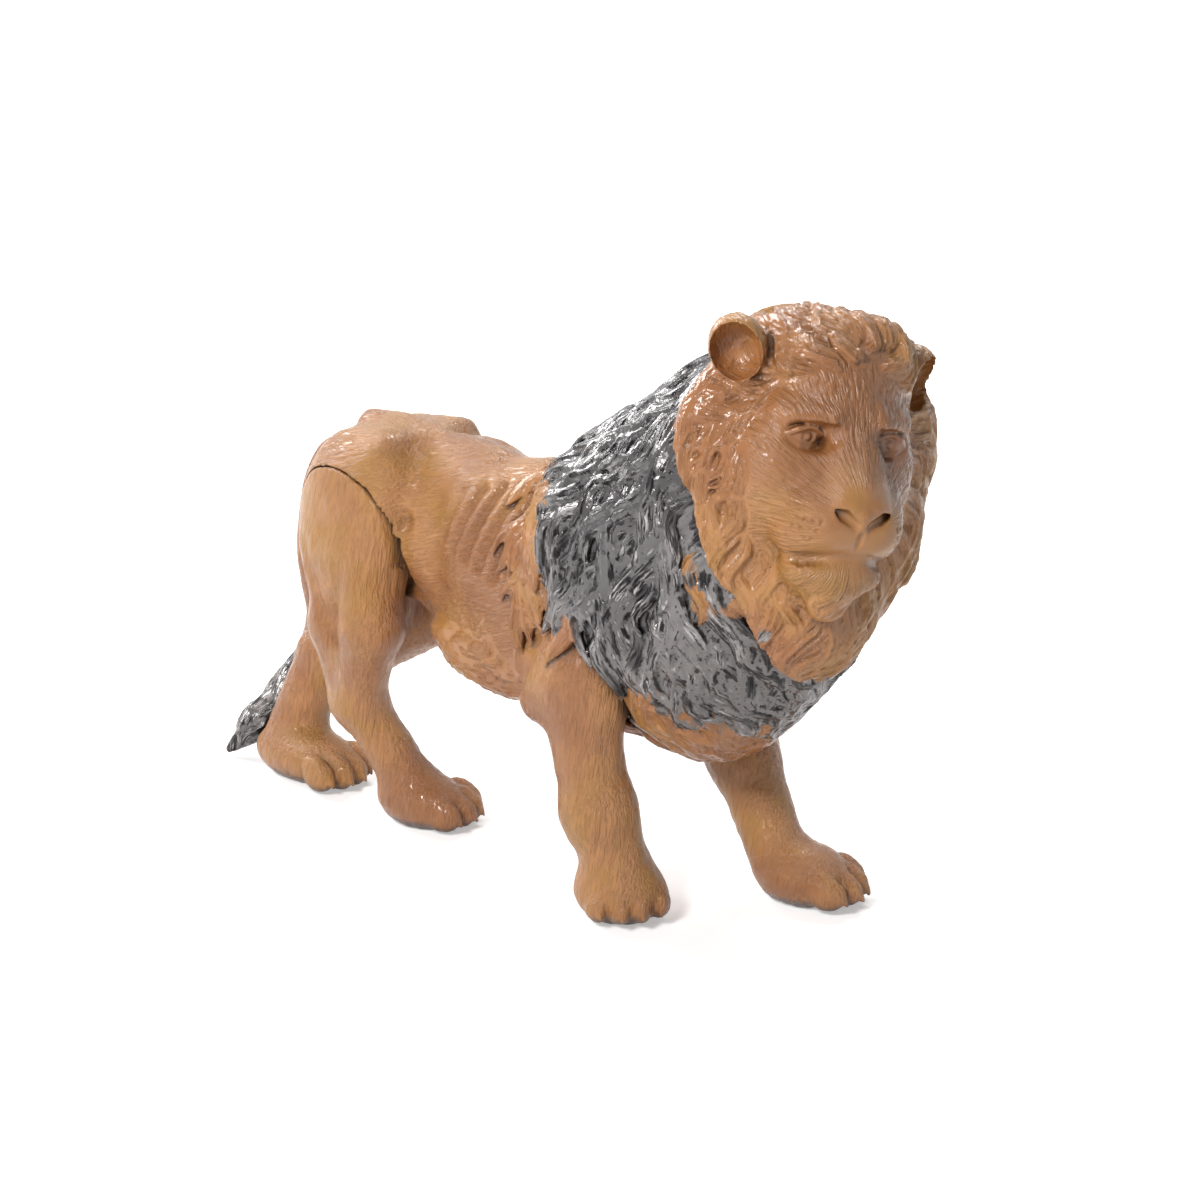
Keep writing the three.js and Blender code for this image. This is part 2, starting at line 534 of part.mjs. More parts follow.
// Tail: a tapering swept tube with a tuft, and a plug for the trunk.
function buildTail() {
  const curve = new THREE.CatmullRomCurve3(tailShares.path.map(place));
  const frames = curve.computeFrenetFrames(tailRings, false);
  const count = tailShares.radii.length - 1;
  const rings = Array.from({ length: tailRings + 1 }, (_, i) => {
    const part = i / tailRings;
    const spot = Math.min(Math.floor(part * count), count - 1);
    const radius = length(lerp(tailShares.radii[spot], tailShares.radii[spot + 1],
      part * count - spot));
    return Array.from({ length: tailSides }, (_, j) => {
      const angle = j / tailSides * 2 * Math.PI;
      return curve.getPointAt(part).addScaledVector(frames.normals[i], radius * Math.cos(angle))
        .addScaledVector(frames.binormals[i], radius * Math.sin(angle));
    });
  });
  const body = toSolid(skin(rings, curve.getPointAt(0), curve.getPointAt(1)));
  const seatPoint = tailSeat.clone().addScaledVector(tailNormal, fitGap);
  const peg = plug(seatPoint, tailNormal.clone().negate(), joint.tailNeck, joint.tailFlange,
    joint.tailNeck / 2);
  return body.subtract(blockBeyond(seatPoint, tailNormal.clone().negate())).add(peg);
}

// Mane: sections between lowest and highest points, raised in overlapping rows of locks.
function maneRow(along) {
  const rows = maneSectionShares;
  const after = Math.max(1, rows.findIndex((row) => row[0] >= along));
  const part = (along - rows[after - 1][0]) / (rows[after][0] - rows[after - 1][0]);
  return rows[after].map((value, i) => lerp(rows[after - 1][i], value, part));
}

// How far a pattern of locks rises above the skin under it, as a share.
function lockRaise(pattern, part, turnShare) {
  const fromTop = Math.min(turnShare, 1 - turnShare);
  const layer = (shift) => {
    const across = fromTop * pattern.around + shift;
    const along = part * pattern.rows + shift;
    const side = 2 * (across - Math.floor(across)) - 1;
    const fromTip = along - Math.floor(along);
    const reach = Math.min(1, Math.sqrt(fromTip / pattern.pointShare));
    return (1 - fromTip) * Math.max(0, 1 - (side / Math.max(reach, Number.EPSILON)) ** 2);
  };
  return pattern.raiseShare * Math.max(layer(0), layer(0.5));
}

function maneSolid(inset, relief, from, to, ringCount, sideCount) {
  const rings = Array.from({ length: ringCount + 1 }, (_, i) => {
    const part = i / ringCount;
    const [along, low, high, wide] = maneRow(lerp(from, to, part));
    return Array.from({ length: sideCount }, (_, j) => {
      const turnShare = j / sideCount;
      const angle = turnShare * 2 * Math.PI;
      const grow = relief * lockRaise(locks, part, turnShare) - inset;
      const round = (value) => Math.sign(value) * Math.abs(value) ** (2 / maneSquareness);
      const up = (high + low) / 2 + ((high - low) / 2 + grow) * round(Math.cos(angle));
      const narrow = 1 - maneTaperShare * Math.max(0, -Math.cos(angle)) ** 2;
      return onSeam(along, up).addScaledVector(axisY,
        -length((wide + grow) * narrow * round(Math.sin(angle))));
    });
  });
  const centre = (share) => onSeam(share, (maneRow(share)[1] + maneRow(share)[2]) / 2);
  return toSolid(skin(rings, centre(from), centre(to)));
}

const seamAlong = seamShares.along;
const wallShare = wall / maneLength;
const maneStart = maneSectionShares[0][0];
const maneSkin = maneSolid(lockSinkShare, 1, maneStart, seamAlong - fitGap / maneLength, maneRings,
  maneSides);
const maneHollow = maneSolid(lockSinkShare + wallShare, 0, maneStart + wallShare,
  seamAlong - wallShare - fitGap / maneLength, cavityRings, cavitySides * 2);
let mane = maneSkin.subtract(maneHollow).subtract(trunkGrown);
mane = mane.subtract(legs.front_right_leg.room).subtract(legs.front_left_leg.room);

// Head: rays from its centre, ears, eyes, a hollow behind the face and the neck plug.
const headField = featured(blended(headShares, faceBlendShare), featureShares);
const inFace = (p) => p.clone().applyQuaternion(faceTurn).add(facePoint);
function headSolid(level, ringCount, sideCount) {
  const centre = place(headCentreShares);
  const rings = Array.from({ length: ringCount - 1 }, (_, i) => {
    const polar = ((i + 1) / ringCount) ** headRingPower * Math.PI;
    return Array.from({ length: sideCount }, (_, j) => {
      const angle = j / sideCount * 2 * Math.PI;
      const direction = new THREE.Vector3(Math.cos(polar), -Math.sin(polar) * Math.sin(angle),
        Math.sin(polar) * Math.cos(angle));
      const behind = THREE.MathUtils.smoothstep(polar / Math.PI, ruff.startShare, ruff.fullShare);
      const raise = level < 0 ? 0
        : length(behind * lockRaise(ruff, 1 - polar / Math.PI, angle / (2 * Math.PI)));
      return inFace(centre.clone().addScaledVector(direction,
        raise + reachOf(headField, centre, direction, level)));
    });
  });
  const pole = (sign) => inFace(centre.clone().addScaledVector(axisX,
    sign * reachOf(headField, centre, axisX.clone().multiplyScalar(sign), level)));
  return toSolid(skin(rings, pole(1), pole(-1)));
}

function ear(side) {
  const rotation = faceTurn.clone().multiply(turn(axisX, -side * earRoll))
    .multiply(turn(axisZ, side * earYaw));
  const shell = (scale, shift) => {
    const geometry = new THREE.SphereGeometry(1, earSides, earSides / 2);
    geometry.scale(...earShares.size.map((value) => length(value * scale)));
    geometry.translate(...shift.map(length));
    return placed(geometry, inFace(place(side < 0 ? earShares.right : earShares.left)), rotation);
  };
  const [ahead, aside, up] = earShares.scoop;
  return shell(1, [0, 0, 0]).subtract(shell(earShares.hollow, [ahead, side * aside, up]));
}

function eye(side) {
  const [ahead, aside, up] = eyeShares.at;
  const geometry = new THREE.SphereGeometry(1, earSides, earSides / 2);
  geometry.scale(...eyeShares.size.map(length));
  return placed(geometry, inFace(place([ahead, side * aside, up])), faceTurn);
}

const headBack = blockBeyond(plugPoint, seamNormal.clone().negate());
const headHollow = headSolid(-wall - length(ruff.raiseShare), cavityRings, cavitySides)
  .subtract(blockBeyond(plugPoint.clone().addScaledVector(seamNormal, wall),
    seamNormal.clone().negate()));
const head = headSolid(0, headRings, headSides).add(ear(1)).add(ear(-1)).add(eye(1)).add(eye(-1))
  .subtract(headBack).subtract(headHollow)
  .subtract(bar(plugPoint, seamNormal, joint.headBore, -wall, 3 * wall, plugSides))
  .add(plug(plugPoint, seamNormal.clone().negate(), joint.headNeck, joint.headFlange,
    joint.headBore));

const vinyl = { color: '#b5713d', roughness: 0.42, metalness: 0 };
const sprayed = { color: '#4a4648', roughness: 0.32, metalness: 0.45 };

function meshOf(name, solid, look) {
  const { vertProperties, triVerts } = solid.getMesh();
  const geometry = new THREE.BufferGeometry();
  geometry.setAttribute('position', new THREE.BufferAttribute(vertProperties, 3));
  geometry.setIndex(new THREE.BufferAttribute(triVerts, 1));
  geometry.computeVertexNormals();
  const mesh = new THREE.Mesh(geometry, new THREE.MeshStandardMaterial(look));
  mesh.name = name;
  return mesh;
}

const lion = new THREE.Group();
lion.add(
  meshOf('torso_shell', trunk, vinyl),
  meshOf('mane_shell', mane, sprayed),
  meshOf('head_shell', head, vinyl),
  ...Object.entries(legs).map(([name, { solid }]) => meshOf(name, solid, vinyl)),
  meshOf('tail', buildTail(), vinyl),
);

// The origin is on the ground under the middle of the whole figure.
const middle = new THREE.Box3().setFromObject(lion).getCenter(new THREE.Vector3());
lion.position.set(-middle.x, -middle.y, 0);

export default lion;
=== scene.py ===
import json
import math
from itertools import product

import bpy
import numpy as np
import openvdb
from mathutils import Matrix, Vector


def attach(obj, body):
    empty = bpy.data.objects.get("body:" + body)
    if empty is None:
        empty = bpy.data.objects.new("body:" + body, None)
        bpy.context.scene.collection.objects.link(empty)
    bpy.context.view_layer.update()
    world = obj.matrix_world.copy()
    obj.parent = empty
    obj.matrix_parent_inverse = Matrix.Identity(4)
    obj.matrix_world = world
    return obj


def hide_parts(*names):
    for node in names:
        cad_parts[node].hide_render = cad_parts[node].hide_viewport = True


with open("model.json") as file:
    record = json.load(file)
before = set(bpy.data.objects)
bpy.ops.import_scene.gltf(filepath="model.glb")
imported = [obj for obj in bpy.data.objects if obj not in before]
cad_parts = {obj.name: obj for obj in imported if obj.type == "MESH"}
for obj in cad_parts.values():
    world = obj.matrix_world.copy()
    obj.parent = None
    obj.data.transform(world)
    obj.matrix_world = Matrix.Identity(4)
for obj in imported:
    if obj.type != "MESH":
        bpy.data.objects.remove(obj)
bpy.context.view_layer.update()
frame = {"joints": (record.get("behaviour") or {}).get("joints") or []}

# Toy lion of soft vinyl. The forms are modelled as blocks of signed distances in
# millimetres and then meshed in metres. X is ahead of the lion, Y its left, Z up.
# Places and sizes of forms are shares of the mane's length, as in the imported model.
# Radii, depths, blends and locks of hair are in millimetres.

MANE_LENGTH = 100.0
METRE = 1000.0
WALL = 2.5
FIT_GAP = 0.3
HAUNCH = {"at": (-0.855, 0, 1.12), "radius": 25.0, "seat": 12.0, "depth": 60.0}
SHOULDER = {"at": (0.46, 0, 1.04), "radius": 20.0, "seat": 18.0, "depth": 40.5}
SKIRT_STEP = 3.6
SEAM_TILT = math.radians(22)
FACE_YAW = math.radians(-17)
FACE_ROLL = math.radians(-12)
TAIL_TILT = math.radians(20)
BODY_BLEND = 12.0
LEG_BLEND = 7.0
FACE_BLEND = 7.0
LOCK_BLEND = 0.5
GUIDE_BLEND = 6
TAIL_BLEND = 1
# Empty room round a block's forms, for blends and locks.
MARGIN, TAIL_MARGIN = 4, 5
SEAM_ALONG = 1.6
PLUG_UP = 1.05
FACE_AT = (1.403, -0.09, 1.835)
TAIL_SEAT = (-1.05, 0, 1.32)
TAIL_SEAT_RADIUS = 8.0
FAR = 60.0

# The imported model's origin, from the place of a leg's joint.
JOINTS = {joint["name"]: joint for joint in frame["joints"]}
SHIFT = JOINTS["rear_right_swing"]["pos_m"][0] * METRE - HAUNCH["at"][0] * MANE_LENGTH


def mm(shares):
    return np.array(shares, float) * MANE_LENGTH


def held(value):
    """The value, held between 0 and 1."""
    return np.clip(value, 0, 1)


def unit(rows):
    """The same directions with a length of one."""
    return rows / np.maximum(np.linalg.norm(rows, axis=-1, keepdims=True), 1e-6)


def dot(q, axis):
    """Places along an axis, from three arrays of coordinates."""
    return q[0] * axis[0] + q[1] * axis[1] + q[2] * axis[2]


def about(axis, angle):
    """Turn by an angle about an axis, as a matrix for columns."""
    c, s = math.cos(angle), math.sin(angle)
    first, second = [(1, 2), (2, 0), (0, 1)][axis]
    turn = np.eye(3)
    turn[first, first] = turn[second, second] = c
    turn[first, second], turn[second, first] = -s, s
    return turn


SEAM_TURN = about(1, -SEAM_TILT)
SEAM_NORMAL = SEAM_TURN @ (1, 0, 0)
SEAM_UP = SEAM_TURN @ (0, 0, 1)
FACE_TURN = about(2, FACE_YAW) @ about(0, FACE_ROLL)
PLUG_POINT = (SEAM_NORMAL * SEAM_ALONG + SEAM_UP * PLUG_UP) * MANE_LENGTH
TAIL_NORMAL = about(1, TAIL_TILT) @ (-1, 0, 0)


# Smooth random values. The factors scramble a cell's three whole numbers and a seed.

CELL_FACTORS, SEED_FACTOR = (73856093, 19349663, 83492791), 6971
SCRAMBLES = ((13, 1274126177), (15, 73244475))
SCRAMBLE_TOP = 0x7fffffff


def corner_mean(cell, part, value_at):
    """Value inside each cell, between the values at its eight corners."""
    total = np.zeros(len(cell))
    for corner in product((0, 1), repeat=3):
        total += value_at(cell + corner) * np.prod(np.where(corner, part, 1 - part), axis=1)
    return total


def noise(q, seed):
    """Smooth random value from -1 to 1 at each row of q, one lump to a unit."""
    cell = np.floor(q).astype(np.int64)
    part = q - cell

    def scrambled(c):
        h = seed * SEED_FACTOR
        for i, factor in enumerate(CELL_FACTORS):
            h = h ^ (c[:, i] * factor)
        for shift, factor in SCRAMBLES:
            h = ((h ^ (h >> shift)) * factor) & SCRAMBLE_TOP
        return h / SCRAMBLE_TOP
    return 2 * corner_mean(cell, part * part * (3 - 2 * part), scrambled) - 1


# Forms: each gives its distance and the corners of the box that holds it.

class Ball:
    def __init__(self, at, size, turn=None):
        self.at, self.size, self.turn = mm(at), mm(size), turn
        reach = self.size if turn is None else np.full(3, self.size.max())
        self.low, self.high = self.at - reach, self.at + reach

    def distance(self, x, y, z):
        q = [x - self.at[0], y - self.at[1], z - self.at[2]]
        if self.turn is not None:
            q = [dot(q, self.turn[:, i]) for i in range(3)]
        near = np.sqrt(sum((q[i] / self.size[i]) ** 2 for i in range(3)))
        steep = np.sqrt(sum((q[i] / self.size[i] ** 2) ** 2 for i in range(3)))
        return near * (near - 1) / np.maximum(steep, 1e-6)


class Limb:
    def __init__(self, start, end, thick):
        self.start, self.end, self.thick = mm(start), mm(end), mm(thick)
        reach = self.thick.max()
        self.low = np.minimum(self.start, self.end) - reach
        self.high = np.maximum(self.start, self.end) + reach

    def distance(self, x, y, z):
        span = self.end - self.start
        q = [x - self.start[0], y - self.start[1], z - self.start[2]]
        part = held(dot(q, span) / (span @ span))
        away = np.sqrt(sum((q[i] - part * span[i]) ** 2 for i in range(3)))
        return away - (self.thick[0] + part * (self.thick[1] - self.thick[0]))


def form(row):
    """Ball from a place and a size, or limb from two ends and their radii."""
    return Ball(*row) if len(row) == 2 else Limb(*row)


# A lock's width: its share at the root, where it is full, the share that tapers to the
# point, and the least.
LOCK_ROOT, LOCK_FULL, LOCK_TAPER, LOCK_LEAST = 0.5, 0.3, 0.45, 0.35


class Lock:
    """A lock of hair: a flat tapering chain through points, thick along each normal."""

    def __init__(self, points, normals, width, height, phase, strand, split):
        self.points, self.normals = points, normals
        self.strand, self.split, self.phase = strand, split, phase
        share = np.linspace(0, 1, len(points))
        swell = np.minimum(1, LOCK_ROOT + (1 - LOCK_ROOT) * share / LOCK_FULL)
        taper = np.sqrt(held((1 - share) / LOCK_TAPER))
        self.width = np.maximum(width * swell * taper, LOCK_LEAST)
        self.height = np.maximum(height * swell * taper ** 0.6, LOCK_LEAST)
        self.steps = np.linalg.norm(np.diff(self.points, axis=0), axis=1)
        self.lengths = np.concatenate([[0], np.cumsum(self.steps)])
        reach = max(width, height)
        self.low, self.high = self.points.min(0) - reach, self.points.max(0) + reach

    def measure(self, x, y, z):
        """Distance, place across and place along, all in millimetres."""
        best = None
        for i in range(len(self.points) - 1):
            start, span = self.points[i], self.points[i + 1] - self.points[i]
            size = self.steps[i]
            tangent = span / size
            normal = self.normals[i] - tangent * (tangent @ self.normals[i])
            normal /= np.linalg.norm(normal)
            side = np.cross(tangent, normal)
            q = [x - start[0], y - start[1], z - start[2]]
            along, across, above = (dot(q, axis) for axis in (tangent, side, normal))
            part = held(along / size)
            over = along - part * size
            wide, high = (ends[i] + part * (ends[i + 1] - ends[i])
                          for ends in (self.width, self.height))
            less = np.minimum(wide, high)
            comb = np.cos(across * (np.pi / self.strand) + self.phase) ** 2
            high = high * (1 - self.split * comb)
            near = np.sqrt((across / wide) ** 2 + (above / high) ** 2 + (over / less) ** 2)
            found = ((near - 1) * less, across, self.lengths[i] + along)
            if best is None:
                best = [value + 0 * found[0] for value in found]
            else:
                closer = found[0] < best[0]
                best = [np.where(closer, value, kept) for value, kept in zip(found, best)]
        return best

    def distance(self, x, y, z):
        return self.measure(x, y, z)[0]


def smooth_low(first, second, blend):
    """The lower of two distances, rounded where they meet."""
    near = np.maximum(blend - np.abs(first - second), 0)
    return np.minimum(first, second) - near * near / (4 * blend)


def line_away(x, z, start, end):
    """Squared distance from a line between two points of the side view."""
    ex, ez = end - start
    part = held(((x - start[0]) * ex + (z - start[1]) * ez) / (ex * ex + ez * ez))
    return (x - start[0] - part * ex) ** 2 + (z - start[1] - part * ez) ** 2


class Clay:
    """A block of signed distances, below zero inside the form."""

    def __init__(self, low, high, step):
        self.step = step
        self.low = np.array(low, float)
        counts = np.ceil((np.array(high, float) - self.low) / step).astype(int) + 1
        self.axes = [(self.low[i] + step * np.arange(counts[i])).astype(np.float32)
                     for i in range(3)]
        self.value = np.full(counts, FAR, np.float32)

    def grid(self):
        return np.ix_(*self.axes)

    def window(self, item, margin):
        cuts = []
        for i in range(3):
            first = int(np.floor((item.low[i] - margin - self.low[i]) / self.step))
            last = int(np.ceil((item.high[i] + margin - self.low[i]) / self.step)) + 1
            cuts.append(slice(max(0, first), min(len(self.axes[i]), max(0, last))))
        return tuple(cuts), np.ix_(*[axis[cut] for axis, cut in zip(self.axes, cuts)])

    def join(self, item, blend, sign=1):
        """A form added with a smooth blend, or cut out of the clay with a sign of -1."""
        cuts, (x, y, z) = self.window(item, blend + 3 * self.step)
        here = sign * self.value[cuts]
        if here.size:
            self.value[cuts] = sign * smooth_low(here, item.distance(x, y, z), blend)

    def carve(self, item, blend):
        self.join(item, blend, -1)

    def join_all(self, items, blend):
        """Forms, or rows that give them, joined one after another."""
        for item in items:
            self.join(form(item) if isinstance(item, tuple) else item, blend)

    def keep(self, distances):
        """Only what also lies inside the other distances."""
        self.value = np.maximum(self.value, distances).astype(np.float32)

    def drop(self, distances):
        self.keep(-distances)

    def merge(self, distances, blend):
        """Smooth joining with distances on the same grid."""
        self.value = smooth_low(self.value, distances, blend).astype(np.float32)

    def blank(self):
        """An empty block on the same grid."""
        other = Clay.__new__(Clay)
        other.step, other.low, other.axes = self.step, self.low, self.axes
        other.value = np.full(self.value.shape, FAR, np.float32)
        return other

    def sink(self, lines):
        """Shallow grooves along lines of the side view: start, end, half width, depth."""
        x, _, z = self.grid()
        for start, end, wide, deep in lines:
            away = line_away(x, z, mm(start), mm(end))
            self.value += (deep * np.exp(-away / (wide * wide))).astype(np.float32)

    def sample(self, points):
        """Distance at each point, between the block's values."""
        q = (points - self.low) / self.step
        q = np.clip(q, 0, np.array(self.value.shape) - 1.001)
        cell = q.astype(int)
        return corner_mean(cell, q - cell, lambda c: self.value[tuple(c.T)])

    def slope(self, points):
        """Outward unit normal at each point."""
        result = np.zeros_like(points)
        for i in range(3):
            shift = np.zeros(3)
            shift[i] = self.step
            result[:, i] = self.sample(points + shift) - self.sample(points - shift)
        return unit(result)

    def skin(self):
        """Vertices and faces of the surface at zero."""
        reach = 3 * self.step
        grid = openvdb.FloatGrid(reach)
        grid.copyFromArray(np.clip(self.value, -reach, reach))
        points, triangles, quads = grid.convertToPolygons(0.0, 0.0)
        return points * self.step + self.low, triangles, quads


def to_surface(clay, points, level=0.0, passes=4):
    """Points moved onto the clay's surface, or to a level above it."""
    moved = np.array(points, float)
    for _ in range(passes):
        moved -= clay.slope(moved) * (clay.sample(moved) - level)[:, None]
    return moved


def round_bar(hub, axis, radius, low, high):
    """Distances for a bar about an axis, as a function of grid coordinates."""
    def distance(x, y, z):
        q = [x - hub[0], y - hub[1], z - hub[2]]
        along = dot(q, axis)
        away = np.sqrt(np.maximum(dot(q, q) - along ** 2, 0))
        return np.maximum(away - radius, np.maximum(low - along, along - high))
    return distance


def polygon_distance(corners, x, z):
    """Signed distance from a closed outline in the side view."""
    best = np.full(np.broadcast(x, z).shape, FAR * FAR)
    inside = np.zeros(best.shape, bool)
    for start, end in zip(corners, np.roll(corners, -1, axis=0)):
        best = np.minimum(best, line_away(x, z, start, end))
        crosses = (start[1] > z) != (end[1] > z)
        ex, ez = end - start
        with np.errstate(divide="ignore", invalid="ignore"):
            inside ^= crosses & (x < ex * (z - start[1]) / ez + start[0])
    return np.where(inside, -1, 1) * np.sqrt(best)


# Muscle masses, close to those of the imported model: balls and limbs.

TRUNK = [
    ((-0.47, 0.13, 1.345), (0.2, 0.1, 0.12)),
    ((-0.78, 0, 1.2), (0.32, 0.25, 0.32)),
    ((-0.9, -0.16, 1.36), (-0.7, -0.165, 1.41), (0.1, 0.095)),
    ((-0.9, 0.16, 1.36), (-0.66, 0.17, 1.41), (0.1, 0.09)),
    ((-0.83, -0.15, 1.15), (0.26, 0.155, 0.26)),
    ((-0.83, 0.15, 1.15), (0.26, 0.155, 0.26)),
    ((-0.42, 0, 1.15), (0.4, 0.21, 0.335)),
    ((0, 0, 1.06), (0.5, 0.28, 0.415)),
    ((-0.24, 0, 0.78), (0.32, 0.15, 0.17)),
    ((0.12, 0, 1.3), (0.3, 0.14, 0.2)),
    ((0.42, 0, 0.98), (0.28, 0.25, 0.37)),
    ((0.4, 0, 1.2), (1.15, 0, 1.6), (0.33, 0.25)),
]
REAR_RIGHT = {
    "masses": [
        ((-0.85, -0.17, 1.12), (0.27, 0.14, 0.31)),
        ((-0.8, -0.2, 1.04), (-0.73, -0.22, 0.79), (0.15, 0.115)),
        ((-0.94, -0.19, 1.04), (-0.92, -0.2, 0.76), (0.13, 0.1)),
        ((-0.74, -0.22, 0.76), (-0.84, -0.19, 0.46), (0.11, 0.09)),
        ((-0.94, -0.2, 0.74), (-0.92, -0.18, 0.45), (0.1, 0.06)),
        ((-0.84, -0.17, 0.44), (-0.7, -0.09, 0.18), (0.09, 0.095)),
        ((-0.645, -0.06, 0.09), (0.19, 0.135, 0.11)),
    ],
    "toes": {"at": (-0.515, 0, 0.07), "yaw": 24},
    "skirt": [(-0.585, 1.14), (-0.57, 0.95), (-0.555, 0.82), (-0.56, 0.7), (-0.6, 0.55),
              (-1.2, 0.55), (-1.12, 1.12)],
}
REAR_LEFT = {
    "masses": [
        ((-0.85, 0.17, 1.12), (0.27, 0.14, 0.31)),
        ((-0.8, 0.2, 1.04), (-0.8, 0.2, 0.78), (0.15, 0.125)),
        ((-0.94, 0.19, 1.04), (-0.97, 0.19, 0.78), (0.13, 0.11)),
        ((-0.81, 0.19, 0.76), (-1.22, 0.1, 0.5), (0.125, 0.09)),
        ((-1, 0.17, 0.76), (-1.34, 0.08, 0.51), (0.1, 0.06)),
        ((-1.33, 0.08, 0.48), (-1.42, 0.03, 0.2), (0.095, 0.11)),
        ((-0.88, 0.19, 0.72), (-1.16, 0.14, 0.5), (0.13, 0.09)),
        ((-1.345, 0, 0.09), (0.25, 0.13, 0.11)),
    ],
    "toes": {"at": (-1.142, -0.005, 0.07), "yaw": 4},
    "skirt": [(-0.58, 1.14), (-0.565, 0.95), (-0.59, 0.8), (-0.6, 0.68), (-0.65, 0.5),
              (-1.3, 0.5), (-1.12, 1.12)],
}
FRONT_RIGHT = {
    "masses": [
        ((0.46, -0.27, 1.04), (0.22, 0.12, 0.24)),
        ((0.44, -0.32, 0.84), (0.18, 0.13, 0.22)),
        ((0.36, -0.34, 0.86), (0.285, -0.35, 0.76), (0.1, 0.09)),
        ((0.44, -0.33, 0.82), (0.47, -0.33, 0.6), (0.14, 0.108)),
        ((0.47, -0.33, 0.6), (0.51, -0.32, 0.4), (0.108, 0.124)),
        ((0.51, -0.32, 0.4), (0.555, -0.285, 0.22), (0.124, 0.118)),
        ((0.565, -0.265, 0.1), (0.17, 0.155, 0.12)),
    ],
    "toes": {"at": (0.645, -0.31, 0.075), "yaw": -36},
    "skirt": [(0.25, 1.01), (0.38, 1.06), (0.54, 1.06), (0.64, 0.98), (0.665, 0.84),
              (0.67, 0.72), (0.7, 0.6), (0.72, 0.45), (0.24, 0.45), (0.155, 0.74),
              (0.155, 0.86)],
}
FRONT_LEFT = {
    "masses": [
        ((0.46, 0.27, 1.04), (0.22, 0.12, 0.24)),
        ((0.47, 0.32, 0.86), (0.19, 0.13, 0.22)),
        ((0.49, 0.33, 0.8), (0.625, 0.3, 0.48), (0.15, 0.12)),
        ((0.625, 0.3, 0.48), (0.795, 0.275, 0.21), (0.12, 0.105)),
        ((0.92, 0.295, 0.1), (0.19, 0.145, 0.115)),
    ],
    "toes": {"at": (1.06, 0.345, 0.075), "yaw": 22},
    "skirt": [(0.235, 1.01), (0.38, 1.07), (0.56, 1.07), (0.66, 0.99), (0.7, 0.86),
              (0.76, 0.72), (0.86, 0.54), (0.9, 0.45), (0.3, 0.45), (0.225, 0.82)],
}
LEGS = {
    "rear_right_leg": (REAR_RIGHT, HAUNCH, -1, "rear_right"),
    "rear_left_leg": (REAR_LEFT, HAUNCH, 1, "rear_left"),
    "front_right_leg": (FRONT_RIGHT, SHOULDER, -1, "front_right"),
    "front_left_leg": (FRONT_LEFT, SHOULDER, 1, "front_left"),
}
TOE = {"spread": 0.072, "back": 0.035, "size": (0.07, 0.044, 0.06)}
# The share of a disc's radius under its middle down to which trunk and leg are one form.
DISC_FREE = 0.4
UPPER_MASSES = 3


# Meshes and materials.

CREASE_REACH = 2.5
# Relief that stays where two locks meet.
STEADY_LIFT = 0.3


def make_piece(name, clay, hair, lift, body, slot, *replaces):
    """Skin of a block of clay as a piece that rides on a body."""
    points, triangles, quads = clay.skin()
    normals = clay.slope(points)
    # How deep each point lies in a hollow; the mane's material paints shade there.
    crease = held(1 - clay.sample(points + CREASE_REACH * normals) / CREASE_REACH)
    values = hair(points)
    source = values.get("source", np.zeros(len(points), int))
    steady = np.ones(len(points))
    for faces in (triangles, quads):
        if len(faces):
            mixed = (source[faces] != source[faces[:, :1]]).any(1)
            steady[faces[mixed].ravel()] = 0
    steady = steady * values.get("furry", 1.0)
    rise = lift(values) * (STEADY_LIFT + (1 - STEADY_LIFT) * steady)
    points = points + normals * rise[:, None]
    place = (points + (SHIFT, 0, 0)) / METRE
    a, b, c = (place[triangles[:, i]] for i in range(3)) if len(triangles) else (place[:0],) * 3
    d, e, f = (place[quads[:, i]] for i in range(3))
    volume = (a * np.cross(b, c)).sum() + 2 * (d * np.cross(e, f)).sum()
    order = -1 if volume < 0 else 1
    corners = np.concatenate([triangles[:, ::order].ravel(), quads[:, ::order].ravel()])
    sizes = np.concatenate([np.full(len(triangles), 3), np.full(len(quads), 4)])
    mesh = bpy.data.meshes.new(name)
    mesh.vertices.add(len(place))
    mesh.vertices.foreach_set("co", place.ravel().astype(np.float32))
    mesh.loops.add(len(corners))
    mesh.loops.foreach_set("vertex_index", corners.astype(np.int32))
    mesh.polygons.add(len(sizes))
    starts = np.concatenate([[0], np.cumsum(sizes)[:-1]])
    mesh.polygons.foreach_set("loop_start", starts.astype(np.int32))
    mesh.update(calc_edges=True)
    mesh.validate()
    mesh.polygons.foreach_set("use_smooth", np.ones(len(sizes), bool))
    for label, value in (("hair", values["hair"]), ("spray", values["spray"]),
                         ("crease", crease), ("steady", steady)):
        kind = "FLOAT_VECTOR" if value.ndim == 2 else "FLOAT"
        layer = mesh.attributes.new(label, kind, "POINT")
        layer.data.foreach_set("vector" if value.ndim == 2 else "value",
                               value.astype(np.float32).ravel())
    piece = bpy.data.objects.new(name, mesh)
    bpy.context.scene.collection.objects.link(piece)
    mesh.materials.append(LOOKS[slot])
    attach(piece, body)
    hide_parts(*replaces)


def linear(code):
    """Linear colour of an sRGB code such as b5713d."""
    parts = [int(code[i:i + 2], 16) / 255 for i in (0, 2, 4)]
    return [*((c / 12.92 if c <= 0.04045 else ((c + 0.055) / 1.055) ** 2.4) for c in parts), 1]


# TAN_DEEP is the dark tan of the hair strokes and also of the painted shade in grooves.
TAN, TAN_LIGHT, TAN_DEEP, OCHRE = map(linear, ("9a643a", "b27d4c", "412815", "a07428"))
# The darkest colour here is the spray's near-black for its dark strands and darker locks, and
# also the painted shade in the mane's crevices.
GUNMETAL, GREY, POLISHED, DARK_SPRAY_AND_SHADE = map(linear, ("2e2b2a", "a29d9b", "aaa6a6", "120f10"))


